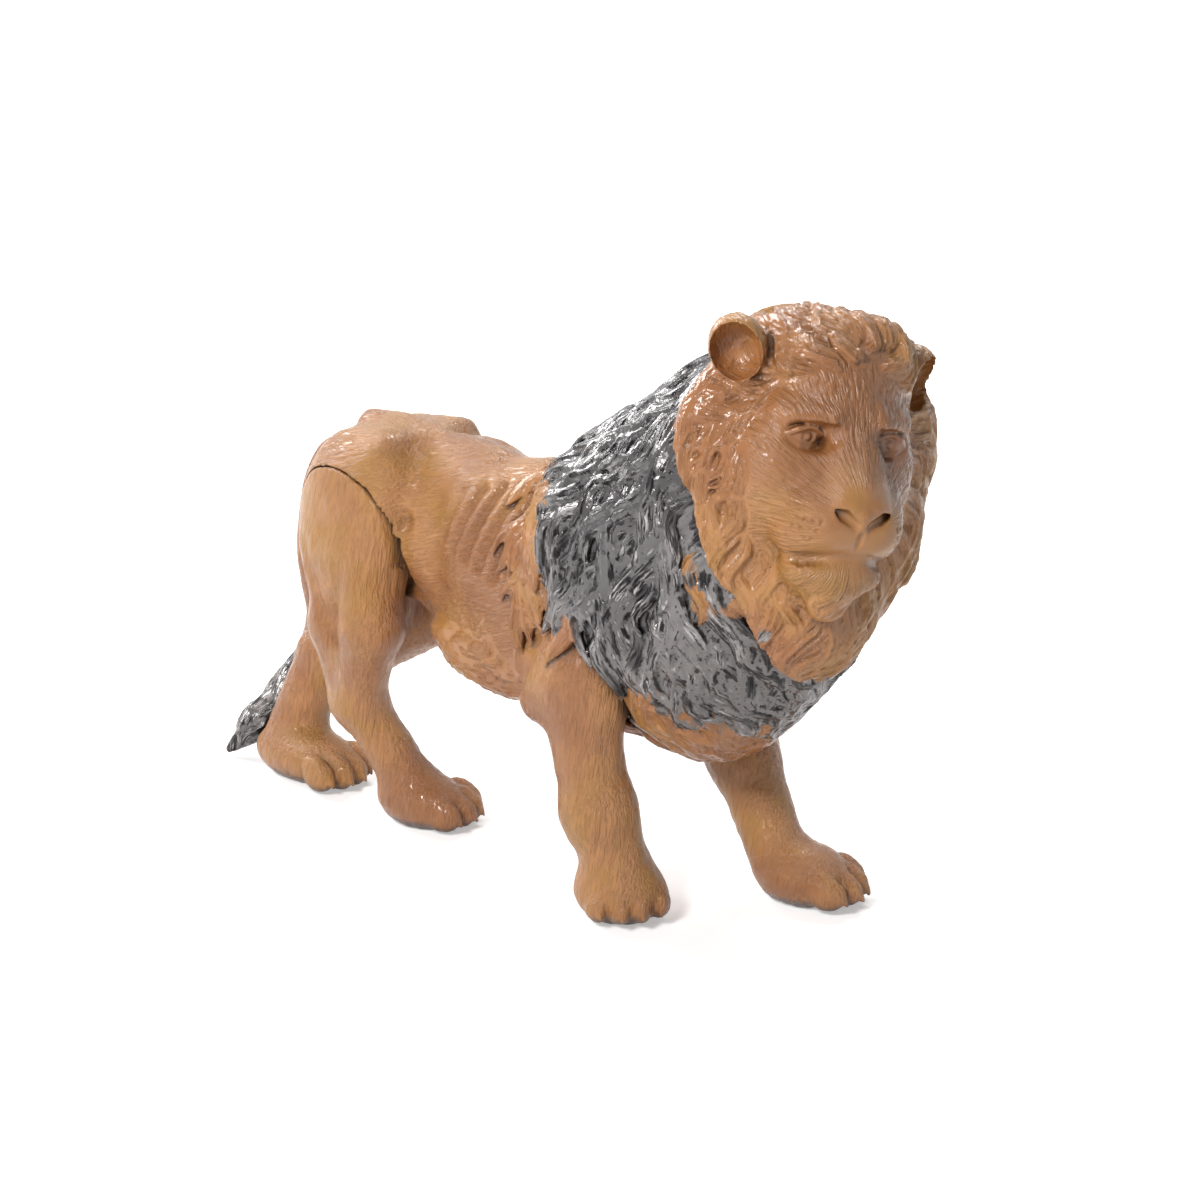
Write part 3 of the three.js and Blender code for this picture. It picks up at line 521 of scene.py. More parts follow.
class Nodes:
    """Short calls for the nodes of a material or of the world."""

    def __init__(self, owner):
        owner.use_nodes = True
        self.owner, self.tree = owner, owner.node_tree

    def node(self, kind, **inputs):
        made = self.tree.nodes.new(kind)
        for key, value in inputs.items():
            self.set(made.inputs[key.replace("_", " ")], value)
        return made

    def set(self, socket, value):
        if isinstance(value, bpy.types.NodeSocket):
            self.tree.links.new(value, socket)
        else:
            socket.default_value = value

    def shade(self, **inputs):
        shader = self.tree.nodes["Principled BSDF"]
        for key, value in inputs.items():
            self.set(shader.inputs[key.replace("_", " ")], value)

    def attribute(self, name, output):
        made = self.tree.nodes.new("ShaderNodeAttribute")
        made.attribute_name = name
        return made.outputs[output]

    def noise(self, vector, scale, detail=3.0, rough=0.55):
        made = self.node("ShaderNodeTexNoise", Vector=vector, Scale=scale, Detail=detail,
                         Roughness=rough)
        return made.outputs["Fac"]

    def stretch(self, vector, scale):
        made = self.node("ShaderNodeMapping", Vector=vector, Scale=scale)
        return made.outputs["Vector"]

    def ramp(self, value, low, high, start=0.0, end=1.0):
        made = self.node("ShaderNodeMapRange", Value=value)
        for index, number in ((1, low), (2, high), (3, start), (4, end)):
            made.inputs[index].default_value = number
        made.interpolation_type = "SMOOTHSTEP"
        return made.outputs["Result"]

    def math(self, operation, first, second):
        made = self.tree.nodes.new("ShaderNodeMath")
        made.operation = operation
        self.set(made.inputs[0], first)
        self.set(made.inputs[1], second)
        return made.outputs[0]

    def times(self, first, second):
        return self.math("MULTIPLY", first, second)

    def plus(self, first, second):
        return self.math("ADD", first, second)

    def spread(self, value, factor):
        """A value about a half, with its difference from it times a factor."""
        return self.times(self.math("SUBTRACT", value, 0.5), factor)

    def mix(self, factor, first, second):
        made = self.tree.nodes.new("ShaderNodeMix")
        made.data_type = "RGBA"
        self.set(made.inputs["Factor"], factor)
        self.set(made.inputs[6], first)
        self.set(made.inputs[7], second)
        return made.outputs[2]

    def seen(self):
        """One for rays from the camera, in a reflection or through glass, else zero."""
        rays = self.node("ShaderNodeLightPath").outputs
        direct = self.math("MAXIMUM", rays["Is Camera Ray"], rays["Is Glossy Ray"])
        return self.math("MAXIMUM", direct, rays["Is Transmission Ray"])

    def bump(self, height, strength, distance, normal=None):
        made = self.node("ShaderNodeBump", Height=height, Strength=strength, Distance=distance)
        if normal is not None:
            self.tree.links.new(normal, made.inputs["Normal"])
        return made.outputs["Normal"]


# How far a groove's shade reaches, in metres, and how much of it the tan takes.
SHADE_REACH, SHADE = 0.006, 0.85
OCHRE_DUST = 0.4
# The spray's share of metal, and what it takes from the roughness of bare vinyl.
METAL, METAL_GLOSS, ROUGHNESS = 0.72, -0.04, (0.22, 0.31)
# Relief: the strokes' strength on bare and on sprayed vinyl and their depth in metres, then
# for hide and pores the lumps to a metre, strength and depth.
STROKES, HIDE, PORES = (0.8, 0.4, 0.0004), (260.0, 0.4, 0.0005), (1400.0, 0.12, 0.0001)


def vinyl(name):
    """Tan vinyl with ochre overspray, and metallic spray where a piece's attribute asks."""
    m = Nodes(bpy.data.materials.new(name))
    place = m.node("ShaderNodeTexCoord").outputs["Object"]
    hair = m.attribute("hair", "Vector")
    spray, crease, steady = (m.attribute(kind, "Fac") for kind in ("spray", "crease", "steady"))
    # Ambient occlusion finds grooves and recesses, which the tan and the spray darken there as
    # painted shade.
    shelter = m.node("ShaderNodeAmbientOcclusion", Distance=SHADE_REACH)
    shelter.samples = 6
    groove_shade = m.ramp(shelter.outputs["AO"], 0.35, 0.95, 1.0, 0.0)
    strands = m.noise(m.stretch(hair, (0.14, 1.0, 1.0)), 1.0, 4.0, 0.6)
    strands = m.plus(0.5, m.spread(strands, steady))
    clouds, streaks = m.noise(place, 24.0), m.noise(place, 60.0, 2.0)
    base = m.mix(m.ramp(clouds, 0.38, 0.66), TAN, TAN_LIGHT)
    base = m.mix(m.ramp(strands, 0.3, 0.5, 0.3, 0.0), base, TAN_DEEP)
    dust = m.times(m.ramp(clouds, 0.46, 0.62), m.ramp(streaks, 0.42, 0.6))
    base = m.mix(m.times(dust, OCHRE_DUST), base, OCHRE)
    # Tan turns towards dark tan in grooves: painted shade.
    base = m.mix(m.times(groove_shade, SHADE), base, TAN_DEEP)
    dull = m.mix(m.ramp(strands, 0.4, 0.62), GUNMETAL, GREY)
    bright = m.mix(m.ramp(strands, 0.42, 0.66), DARK_SPRAY_AND_SHADE, POLISHED)
    metal = m.mix(m.ramp(spray, 1.0, 1.6), dull, bright)
    tone = m.ramp(m.noise(m.stretch(hair, (0.04, 0.0, 1.0)), 1.0, 1.0), 0.42, 0.6, 0.0, 0.8)
    metal = m.mix(m.times(tone, steady), metal, DARK_SPRAY_AND_SHADE)
    # Crevices and hollows of the spray turn near-black: painted shade.
    metal = m.mix(m.math("MAXIMUM", groove_shade, m.ramp(crease, 0.35, 0.8, 0.0, 0.9)), metal, DARK_SPRAY_AND_SHADE)
    cover = m.ramp(m.plus(spray, m.spread(strands, 0.4)), 0.42, 0.58)
    gloss = m.plus(m.ramp(clouds, 0.3, 0.7, *ROUGHNESS), m.times(cover, METAL_GLOSS))
    bare, sprayed, deep = STROKES
    relief = m.bump(m.ramp(strands, 0.34, 0.62), m.ramp(cover, 0.0, 1.0, bare, sprayed), deep)
    relief = m.bump(m.noise(place, HIDE[0], 2.0), *HIDE[1:], relief)
    relief = m.bump(m.noise(place, PORES[0]), *PORES[1:], relief)
    m.shade(Base_Color=m.mix(cover, base, metal), Metallic=m.times(cover, METAL),
            Roughness=gloss, Specular_IOR_Level=0.5, Normal=relief)
    return m.owner


LOOKS = {name: vinyl(name) for name in ("tan_vinyl", "sprayed_mane")}


# Trunk and legs.

def plane_cut(clay, point, normal):
    """Distances beyond a plane, on the side that its normal points to."""
    return -dot([axis - at for axis, at in zip(clay.grid(), point)], normal)


def leg_room(clay, leg, hub_row, side):
    """Distances to the pocket that a leg's disc and thigh turn in."""
    x, y, z = clay.grid()
    hub, radius, seat = mm(hub_row["at"]), hub_row["radius"], hub_row["seat"]
    skirt = polygon_distance(mm(leg["skirt"]), x, z)
    skirt = np.maximum(skirt, seat - SKIRT_STEP - side * y)
    disc = round_bar(hub, (0, side, 0), radius, -FAR, seat)
    pocket = round_bar(hub, (0, side, 0), radius + FIT_GAP, seat, hub_row["depth"])
    return np.minimum(np.maximum(skirt, -disc(x, y, z)), pocket(x, y, z))


def block_around(rows, margin, step):
    """An empty block with room for all the forms."""
    items = [form(row) for row in rows]
    low = np.min([item.low for item in items], axis=0) - margin
    high = np.max([item.high for item in items], axis=0) + margin
    return Clay(low, high, step)


# Grooves in the side view: start, end, half width and depth.
FLANK_LINES = [
    ((0.06, 1.42), (-0.05, 1.1), 2.4, 1.9), ((-0.03, 1.41), (-0.14, 1.12), 2.4, 2.1),
    ((-0.12, 1.4), (-0.22, 1.14), 2.4, 2.1), ((-0.21, 1.38), (-0.3, 1.16), 2.4, 1.8),
    ((-0.3, 1.36), (-0.37, 1.2), 2.6, 1.3),
    ((-0.56, 1.46), (-0.575, 1.2), 5.0, 2.0), ((-0.575, 1.2), (-0.59, 0.95), 4.5, 2.6),
    ((-0.45, 1.32), (-0.42, 1.1), 9.0, 3.2), ((-0.36, 0.98), (0.1, 0.88), 7.0, 1.2),
    ((-0.62, 1.44), (-0.7, 1.28), 4.0, 1.0),
]
HAUNCH_LINES = [
    ((-0.78, 1.02), (-0.86, 0.72), 3.4, 1.6), ((-0.98, 1.06), (-0.9, 0.8), 3.0, 1.2),
]
HIP_BLEND = 5


def trunk_clay(step):
    clay = block_around(TRUNK, MARGIN, step)
    clay.join_all(TRUNK, BODY_BLEND)
    return clay


def join_hips(clay):
    """The upper masses of the legs, which the trunk shares with them round each disc."""
    z = clay.grid()[2]
    for leg, hub, _, _ in LEGS.values():
        upper = clay.blank()
        upper.join_all(leg["masses"][:UPPER_MASSES], LEG_BLEND)
        upper.keep(mm(hub["at"])[2] - DISC_FREE * hub["radius"] - z)
        clay.merge(upper.value, HIP_BLEND)


SPINE = ((-0.95, 0, 1.49), (-0.3, 0, 1.43), (0.03, 0.03))
SPINE_BLEND, BELLY_BLEND = 8, 1.5
BELLY_BOX = ((-0.4, -0.2, 0.66), (0.34, 0.2, 0.9))
BELLY_PITCH = 5.5
# Length, width, height and lifts.
BELLY_LOCKS = (15, 3.2, 2.4, (-1.6, 0.4, 1.4))
BELLY_WAY = (-0.75, 0.0, -0.65)


def straight(direction):
    """The same way for hair at every point."""
    return lambda points: np.broadcast_to(direction, points.shape)


def dress_torso(clay):
    """Ribs, the loin's hollow, the crease before the haunch, the spine and belly hair."""
    clay.sink(FLANK_LINES)
    clay.join(form(SPINE), SPINE_BLEND)
    box = mm(BELLY_BOX)
    spots = RANDOM.uniform(*box, (TRIED["belly"], 3))
    spots = to_surface(clay, spread_roots(spots, BELLY_PITCH))
    spots = spots[spots[:, 2] < box[1, 2]]
    locks = grow_locks(clay, spots, straight(BELLY_WAY), *BELLY_LOCKS)
    clay.join_all(locks, BELLY_BLEND)
    return locks


def cut_torso(clay):
    """Room for the head's plug, the tail's seat and the legs."""
    clay.drop(plane_cut(clay, PLUG_POINT - SEAM_NORMAL * FIT_GAP, SEAM_NORMAL))
    seat = round_bar(mm(TAIL_SEAT), TAIL_NORMAL, TAIL_SEAT_RADIUS, 0, FAR)
    clay.drop(seat(*clay.grid()))
    for leg, hub, side, _ in LEGS.values():
        clay.drop(leg_room(clay, leg, hub, side))


def flow_hair(direction):
    """Hair coordinates along one direction, the same all over a piece."""
    first = np.array(direction, float) / np.linalg.norm(direction)
    second = np.cross(first, (0.3, 0.9, 0.2))
    second /= np.linalg.norm(second)
    turn = np.stack([first, second, np.cross(first, second)], axis=1)
    return lambda points: {"hair": points @ turn, "spray": no_spray(points)}


def no_spray(points):
    return np.zeros(len(points))


# Lumps of relief to a millimetre, along the hair and across it, and their parts.
FINE_HAIR, BROAD_HAIR = (0.14, 0.62, 0.62), (0.07, 0.2, 0.2)
FINE_PART, BROAD_PART = 0.7, 0.6


def hair_lift(amount):
    """Short moulded hair strokes as relief."""
    def lift(values):
        fine, broad = noise(values["hair"] * FINE_HAIR, 3), noise(values["hair"] * BROAD_HAIR, 5)
        return amount * (FINE_PART * fine + BROAD_PART * broad)
    return lift


def toe_rows(leg):
    """Place and turn of each of the four toes, the inner ones ahead."""
    toes = leg["toes"]
    turn = about(2, math.radians(toes["yaw"]))
    for k in (-1.5, -0.5, 0.5, 1.5):
        offset = turn @ (-TOE["back"] * (abs(k) - 1), k * TOE["spread"], 0)
        yield np.array(toes["at"]) + offset, turn


# Each toe's knuckle and claw, from its middle: places, sizes and blends.
TOE_BLEND, KNUCKLE_BLEND, CLAW_BLEND = 1.0, 1.4, 0.6
KNUCKLE = ((-0.025, 0, 0.035), (0.06, 0.034, 0.045))
CLAW = ((0.062, 0, -0.012), (0.012, 0, -0.02), (0.014, 0.006))


def leg_clay(leg, hub_row, side, step):
    """A leg with its paw, cut to its disc and thigh inside the trunk's pocket."""
    rows = leg["masses"]
    clay = block_around(rows + [(at, TOE["size"]) for at, _ in toe_rows(leg)], MARGIN, step)
    clay.join_all(rows, LEG_BLEND)
    x, y, z = clay.grid()
    hub = mm(hub_row["at"])
    radius, face = hub_row["radius"], hub_row["seat"] + FIT_GAP

    def bar(thick, high):
        return round_bar(hub, (0, side, 0), thick, -2 * FAR, high)(x, y, z)
    disc = bar(radius, 2 * FAR)
    shared = clay.blank()
    shared.join_all(TRUNK, BODY_BLEND)
    shared.keep(disc)
    clay.merge(shared.value, HIP_BLEND)
    if hub_row is HAUNCH:
        clay.sink(FLANK_LINES + HAUNCH_LINES)
    for at, turn in toe_rows(leg):
        clay.join(Ball(at, TOE["size"], turn), TOE_BLEND)
        clay.join(Ball(at + turn @ KNUCKLE[0], KNUCKLE[1], turn), KNUCKLE_BLEND)
        claw = at + turn @ CLAW[0]
        clay.join(Limb(claw, claw + turn @ CLAW[1], CLAW[2]), CLAW_BLEND)
    above = hub[2] - DISC_FREE * radius - z
    clay.drop(np.maximum(np.maximum(bar(2 * radius, 2 * FAR), -disc), above))
    clay.drop(bar(radius + 2 * WALL, face))
    clay.keep(np.broadcast_to(-z, clay.value.shape))
    return clay


TAIL_PATH = [
    (-1.05, 0, 1.32), (-1.13, -0.01, 1.33), (-1.21, -0.02, 1.23), (-1.25, -0.03, 1.07),
    (-1.28, -0.02, 0.92), (-1.33, 0.04, 0.77), (-1.42, 0.14, 0.61), (-1.53, 0.2, 0.43),
    (-1.6, 0.16, 0.26), (-1.67, 0.05, 0.13), (-1.74, -0.05, 0.03),
]
TAIL_RADII = [0.066, 0.06, 0.054, 0.05, 0.047, 0.044, 0.042, 0.048, 0.072, 0.066, 0.015]


def smooth_path(points, count):
    """Points of a centripetal curve through the given ones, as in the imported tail."""
    points = np.array(points, float)
    ends = [2 * points[0] - points[1], *points, 2 * points[-1] - points[-2]]
    result = []
    for share in np.linspace(0, len(points) - 1, count):
        i = min(int(share), len(points) - 2)
        p = ends[i:i + 4]
        steps = [math.sqrt(np.linalg.norm(p[k + 1] - p[k])) for k in range(3)]
        t = [0, steps[0], steps[0] + steps[1], sum(steps)]
        at = t[1] + (share - i) * (t[2] - t[1])
        layer = [((t[k + 1] - at) * p[k] + (at - t[k]) * p[k + 1]) / (t[k + 1] - t[k])
                 for k in range(3)]
        layer = [((t[k + 2] - at) * layer[k] + (at - t[k]) * layer[k + 1])
                 / (t[k + 2] - t[k]) for k in range(2)]
        result.append(((t[2] - at) * layer[0] + (at - t[1]) * layer[1]) / (t[2] - t[1]))
    return np.array(result)


# Locks of hair.

RANDOM = np.random.default_rng(7)
# Locks that sway alike lie within this distance.
SWIRL = 26
# Random places tried for the roots of locks.
TRIED = {"belly": 900, "mane": 9000, "ruff": 5000, "patch": 3000}


def grow_locks(clay, roots, flow, length, width, height, lifts, wave=0.12, split=0.3,
               strand=3.4, steps=7):
    """Locks from roots on the clay, each following the flow and rising towards its tip.

    The lifts are heights over the clay at root, middle and tip, the wave a share of the
    length, and the split the depth between strands as a share of the height.
    """
    count = len(roots)
    length = length * RANDOM.uniform(0.8, 1.2, count)
    width = width * RANDOM.uniform(0.8, 1.2, count)
    height = height * RANDOM.uniform(0.85, 1.15, count)
    phase = 2 * np.pi * noise(roots / SWIRL, 31) + RANDOM.uniform(-0.4, 0.4, count)
    combs = RANDOM.uniform(0, np.pi, count)
    spot = to_surface(clay, roots, lifts[0])
    paths, normals = [spot], [clay.slope(spot)]
    step = (length / (steps - 1))[:, None]
    for share in np.arange(1, steps) / (steps - 1):
        normal = normals[-1]
        ahead = flow(spot)
        ahead = unit(ahead - normal * (ahead * normal).sum(1, keepdims=True))
        sway = wave * 2 * np.pi * np.cos(phase + share * 2 * np.pi)
        spot = spot + step * (ahead + np.cross(ahead, normal) * sway[:, None])
        spot = to_surface(clay, spot, np.interp(share, [0, 0.5, 1], lifts), 3)
        paths.append(spot)
        normals.append(clay.slope(spot))
    paths, normals = np.stack(paths, 1), np.stack(normals, 1)
    return [Lock(*each, strand, split) for each in zip(paths, normals, width, height, combs)]


def spread_roots(candidates, pitch):
    """Candidates at least the pitch apart, taken in random order."""
    kept = []
    for spot in candidates[RANDOM.permutation(len(candidates))]:
        if not kept or (np.linalg.norm(np.array(kept) - spot, axis=1) > pitch).all():
            kept.append(spot)
    return np.array(kept)


# How near a lock the surface belongs to it, and the share of its paint that is its own.
LOCK_REACH, LOCK_PAINT = 0.7, 0.6
# Where along a lock its tip starts, and how far apart the locks' hair values lie.
TIP_START, LOCK_APART = 0.6, 7.3
# Grooves between strands and short strokes: lumps to a millimetre, and width as a share.
STRANDS, STRAND_WIDTH = (0.03, 1 / 2.2, 1.0), 0.35
STROKE_HAIR, STROKE_WIDTH = (0.3, 1.1, 1.1), 0.4


def lock_hair(locks, base, spray, tips=0.0):
    """Hair coordinates from the lock that makes the surface, and from the base elsewhere."""
    def hair(points):
        values = base(points)
        coordinates = values["hair"].copy()
        nearest = np.full(len(points), LOCK_REACH)
        share = np.zeros(len(points))
        source = np.zeros(len(points), int)
        for number, lock in enumerate(locks):
            near = ((points > lock.low - 1) & (points < lock.high + 1)).all(1)
            index = np.nonzero(near)[0]
            if not len(index):
                continue
            d, across, along = lock.measure(*points[index].T)
            closer = d < nearest[index]
            index, d, across, along = (each[closer] for each in (index, d, across, along))
            nearest[index] = d
            coordinates[index] = np.stack([along, across, 0 * d + number * LOCK_APART], axis=1)
            share[index] = held(along / lock.lengths[-1])
            source[index] = number + 1
        middles = np.array([lock.points[len(lock.points) // 2] for lock in locks])
        own = np.concatenate([[0.0], spray(middles)])[source]
        paint = spray(points)
        paint = np.where(source > 0, (1 - LOCK_PAINT) * paint + LOCK_PAINT * own, paint)
        paint = paint - tips * held(share - TIP_START) / (1 - TIP_START)
        furry = np.where(source > 0, 1, values.get("furry", 1.0))
        return {"hair": coordinates, "spray": paint, "source": source, "furry": furry}
    return hair


def strand_lift(amount, strokes):
    """Narrow grooves between a lock's strands, and short strokes away from locks."""
    def grooves(q, seed, share):
        return held(1 - np.abs(noise(q, seed)) / share)

    def lift(values):
        strands = -amount * grooves(values["hair"] * STRANDS, 11, STRAND_WIDTH)
        short = grooves(values["hair"] * STROKE_HAIR, 3, STROKE_WIDTH)
        return np.where(values["source"] > 0, strands, -strokes * values["furry"] * short)
    return lift


# Tail.

TAIL_STEPS = 60
# The tuft's roots: places along the tail, turn from one to the next and radius round it,
# and the step of the tail from which its locks aim at the tip.
TUFT = {"from": 0.7, "to": 0.86, "count": 26, "turn": 2.4, "radius": 5, "aim": 40}
# Length, width, height, lifts and wave.
TUFT_LOCKS = (20, 2.3, 1.7, (-0.8, 0.1, 0.4), 0.08)


def tail_clay(step):
    """The tail with the locks of its tuft, which wind round it."""
    path = smooth_path(TAIL_PATH, TAIL_STEPS)
    shares = np.linspace(0, 1, TAIL_STEPS)
    radii = np.interp(shares, np.linspace(0, 1, len(TAIL_RADII)), TAIL_RADII)
    rows = [(a, b, (r, s)) for a, b, r, s in zip(path, path[1:], radii, radii[1:])]
    clay = block_around(rows, TAIL_MARGIN, step)
    clay.join_all(rows, TAIL_BLEND)
    path = mm(path)
    tuft = np.linspace(TUFT["from"], TUFT["to"], TUFT["count"])
    centre = np.stack([np.interp(tuft, shares, path[:, i]) for i in range(3)], 1)
    ahead = unit(path[-1] - path[TUFT["aim"]])
    first = unit(np.cross(ahead, (0, 0, 1)))
    angle = (np.arange(TUFT["count"]) * TUFT["turn"])[:, None]
    roots = np.cos(angle) * first + np.sin(angle) * np.cross(ahead, first)
    locks = grow_locks(clay, centre + TUFT["radius"] * roots, straight(ahead), *TUFT_LOCKS)
    clay.join_all(locks, LOCK_BLEND)
    clay.drop(plane_cut(clay, mm(TAIL_SEAT) + TAIL_NORMAL * FIT_GAP, -TAIL_NORMAL))
    return clay, locks


# Mane. Its sections lie square to the face seam: place along, lowest, highest, half width.

MANE_SECTIONS = np.array([
    (0.56, 0.82, 1.2, 0.31), (0.6, 0.6, 1.33, 0.36), (0.68, 0.43, 1.41, 0.41),
    (0.78, 0.315, 1.44, 0.44), (0.9, 0.25, 1.465, 0.46), (1.04, 0.228, 1.49, 0.47),
    (1.18, 0.255, 1.515, 0.47), (1.32, 0.315, 1.545, 0.47), (1.46, 0.375, 1.58, 0.46),
    (1.6, 0.44, 1.61, 0.45),
]) * MANE_LENGTH
MANE_TAPER = 0.28
MANE_SQUARENESS = 2.3
# What the distances of the squarish section are scaled by, to stay true near its surface.
MANE_SCALE = 0.9
MANE_THIN = {"along": (56, 84), "inset": (6.0, 2.6)}
LEG_CLEARANCE = 0.8
# Locks end ahead of the rear limit, and those that end low stay clear of the forelegs.
LOW_TIP = 88.0
REAR_TIP = -6.0
MANE_BLOCK = ((-26, -56, 50), (134, 56, 222))
# Pitch of the roots, then length, width, height, lifts, wave and split of the locks.
MANE_LAYERS = [
    (8.0, 40, 4.6, 3.2, (-2.4, -0.2, 0.5), 0.1, 0.35),
    (10.0, 30, 3.0, 2.2, (-0.4, 0.9, 1.2), 0.12, 0.25),
]
FORELEGS = ("front_right_leg", "front_left_leg")


def seam_places(x, _, z):
    """Places along the neck and up it, in the seam's frame."""
    return x * SEAM_NORMAL[0] + z * SEAM_NORMAL[2], x * SEAM_UP[0] + z * SEAM_UP[2]


def mane_section(along):
    """Lowest and highest place and half width."""
    return (np.interp(along, MANE_SECTIONS[:, 0], MANE_SECTIONS[:, i]) for i in (1, 2, 3))


def mane_width(wide, rise):
    """Half width at a height from -1 to 1, less in the lower half."""
    return wide * (1 - MANE_TAPER * held(-rise) ** 2)


def mane_base(x, y, z):
    along, up = seam_places(x, y, z)
    low, high, wide = mane_section(along)
    inset = np.interp(along, MANE_THIN["along"], MANE_THIN["inset"])
    tall = (high - low) / 2 - inset
    rise = (up - (high + low) / 2) / tall
    wide = mane_width(wide - inset, rise)
    near = np.abs(rise) ** MANE_SQUARENESS + np.abs(y / wide) ** MANE_SQUARENESS
    body = (near ** (1 / MANE_SQUARENESS) - 1) * np.minimum(tall, wide) * MANE_SCALE
    return np.maximum(body, MANE_SECTIONS[0, 0] - along)


def mane_flow(points):
    """Backward over the neck, down the sides and forward under the chest."""
    along, up = seam_places(*points.T)
    low, high, _ = mane_section(along)
    share = held((high - up) / (high - low))
    back = np.interp(share, [0, 0.3, 0.6, 1], [1.0, 0.55, 0.1, -0.75])
    return unit(np.stack([-back, 0 * back, 0 * back - 1], axis=1))


def swept_leg(name, step):
    """The room that a foreleg takes through its swing."""
    leg, hub, _, body = LEGS[name]
    turning = Clay(*MANE_BLOCK, step)
    centre = np.array(hub["at"], float)
    total = FAR
    for angle in np.linspace(*JOINTS[body + "_swing"]["range_deg"], 3):
        turning.value[:] = FAR
        turn = about(1, -math.radians(angle))
        for row in leg["masses"]:
            at = [turn @ (np.array(spot) - centre) + centre for spot in row[:-1]]
            item = Ball(*at, row[-1], turn) if len(at) == 1 else Limb(*at, row[-1])
            turning.join(item, LEG_BLEND)
        total = np.minimum(total, turning.value)
    return total - LEG_CLEARANCE


def mane_roots():
    """Candidates all over the mane's sections."""
    count = TRIED["mane"]
    along = RANDOM.uniform(MANE_SECTIONS[0, 0] + 1, MANE_SECTIONS[-1, 0] - 1, count)
    low, high, wide = mane_section(along)
    angle = RANDOM.uniform(0, 2 * np.pi, count)
    up = (high + low) / 2 + (high - low) / 2 * np.cos(angle)
    y = mane_width(wide * np.sin(angle), np.cos(angle))
    return np.outer(along, SEAM_NORMAL) + np.outer(up, SEAM_UP) + np.outer(y, (0, 1, 0))


def mane_clay(step):
    """The mane's shell with locks that drape over it, the trunk and the shoulders."""
    clay, guide = Clay(*MANE_BLOCK, step), Clay(*MANE_BLOCK, 2 * step)
    for part in (clay, guide):
        part.value = np.minimum(mane_base(*part.grid()), FAR).astype(np.float32)
    guide.join_all(TRUNK, GUIDE_BLEND)
    for name in FORELEGS:
        guide.join_all(LEGS[name][0]["masses"][:UPPER_MASSES], LEG_BLEND)
    locks = []
    for pitch, *growth in MANE_LAYERS:
        roots = spread_roots(mane_roots(), pitch)
        locks += grow_locks(guide, roots, mane_flow, *growth, steps=8)
    swept = clay.blank()
    swept.value = np.minimum(*(swept_leg(name, step) for name in FORELEGS))
    locks = [lock for lock in locks
             if lock.points[-1][0] > REAR_TIP
             and (lock.points[-1][2] > LOW_TIP or swept.sample(lock.points).min() > 0)]
    clay.join_all(locks, LOCK_BLEND)
    clay.drop(plane_cut(clay, SEAM_NORMAL * (MANE_SECTIONS[-1, 0] - FIT_GAP), SEAM_NORMAL))
    clay.drop(swept.value)
    return clay, locks


# Head, in the face's own frame: ahead, to its left and up from midway between the eyes.

HEAD = [
    ((-0.34, 0, 0.03), (0.34, 0.31, 0.33)),
    ((-0.12, 0, 0.11), (0.16, 0.24, 0.19)),
    ((-0.03, 0, 0.06), (0.1, 0, -0.15), (0.09, 0.095)),
    ((0.02, 0, -0.28), (0.17, 0.19, 0.11)),
    ((0.07, -0.095, -0.27), (0.11, 0.105, 0.09)),
    ((0.07, 0.095, -0.27), (0.11, 0.105, 0.09)),
    ((0.01, 0, -0.43), (0.13, 0.14, 0.1)),
    ((-0.13, -0.19, -0.13), (0.18, 0.15, 0.24)),
    ((-0.13, 0.19, -0.13), (0.18, 0.15, 0.24)),
    ((-0.27, 0.042, -0.1), (0.175, 0.5, 0.42)),
    ((-0.2, 0.06, -0.375), (0.17, 0.43, 0.38)),
    ((-0.11, 0.07, -0.6), (0.14, 0.23, 0.24)),
    ((-0.17, 0.12, 0.17), (0.13, 0.2, 0.19)),
]
EAR = {"at": {-1: (-0.205, 0.345, 0.235), 1: (-0.2, 0.345, 0.2)},
       "size": (0.098, 0.098, 0.116), "hollow": 0.86, "scoop": (0.034, 0.01, 0.0),
       "roll": 26, "yaw": 24, "blend": 1.5, "hollow_blend": 0.6}
EYE = ((-0.022, 0.162, 0.0), (0.052, 0.075, 0.048))
IRIS = {"socket": (0.012, 0.026, 0.026), "ball": (0.012, 0.016, 0.016), "deep": 0.012}


def face_place(at, side=1):
    """A place in the face's frame, or its mirror, in the common one."""
    return FACE_TURN @ (np.array(at, float) * (1, side, 1)) + np.array(FACE_AT)


def in_face(points):
    """Points in the face's frame, as shares of the mane's length."""
    return (points / MANE_LENGTH - np.array(FACE_AT)) @ FACE_TURN


def face_form(row, side=1, roll=0, yaw=0):
    """A form given in the face's frame, on its left or mirrored to its right."""
    places = [face_place(at, side) for at in row[:-1]]
    if len(places) == 2:
        return Limb(*places, row[-1])
    turn = about(0, math.radians(-side * roll)) @ about(2, math.radians(side * yaw))
    return Ball(*places, row[-1], FACE_TURN @ turn)


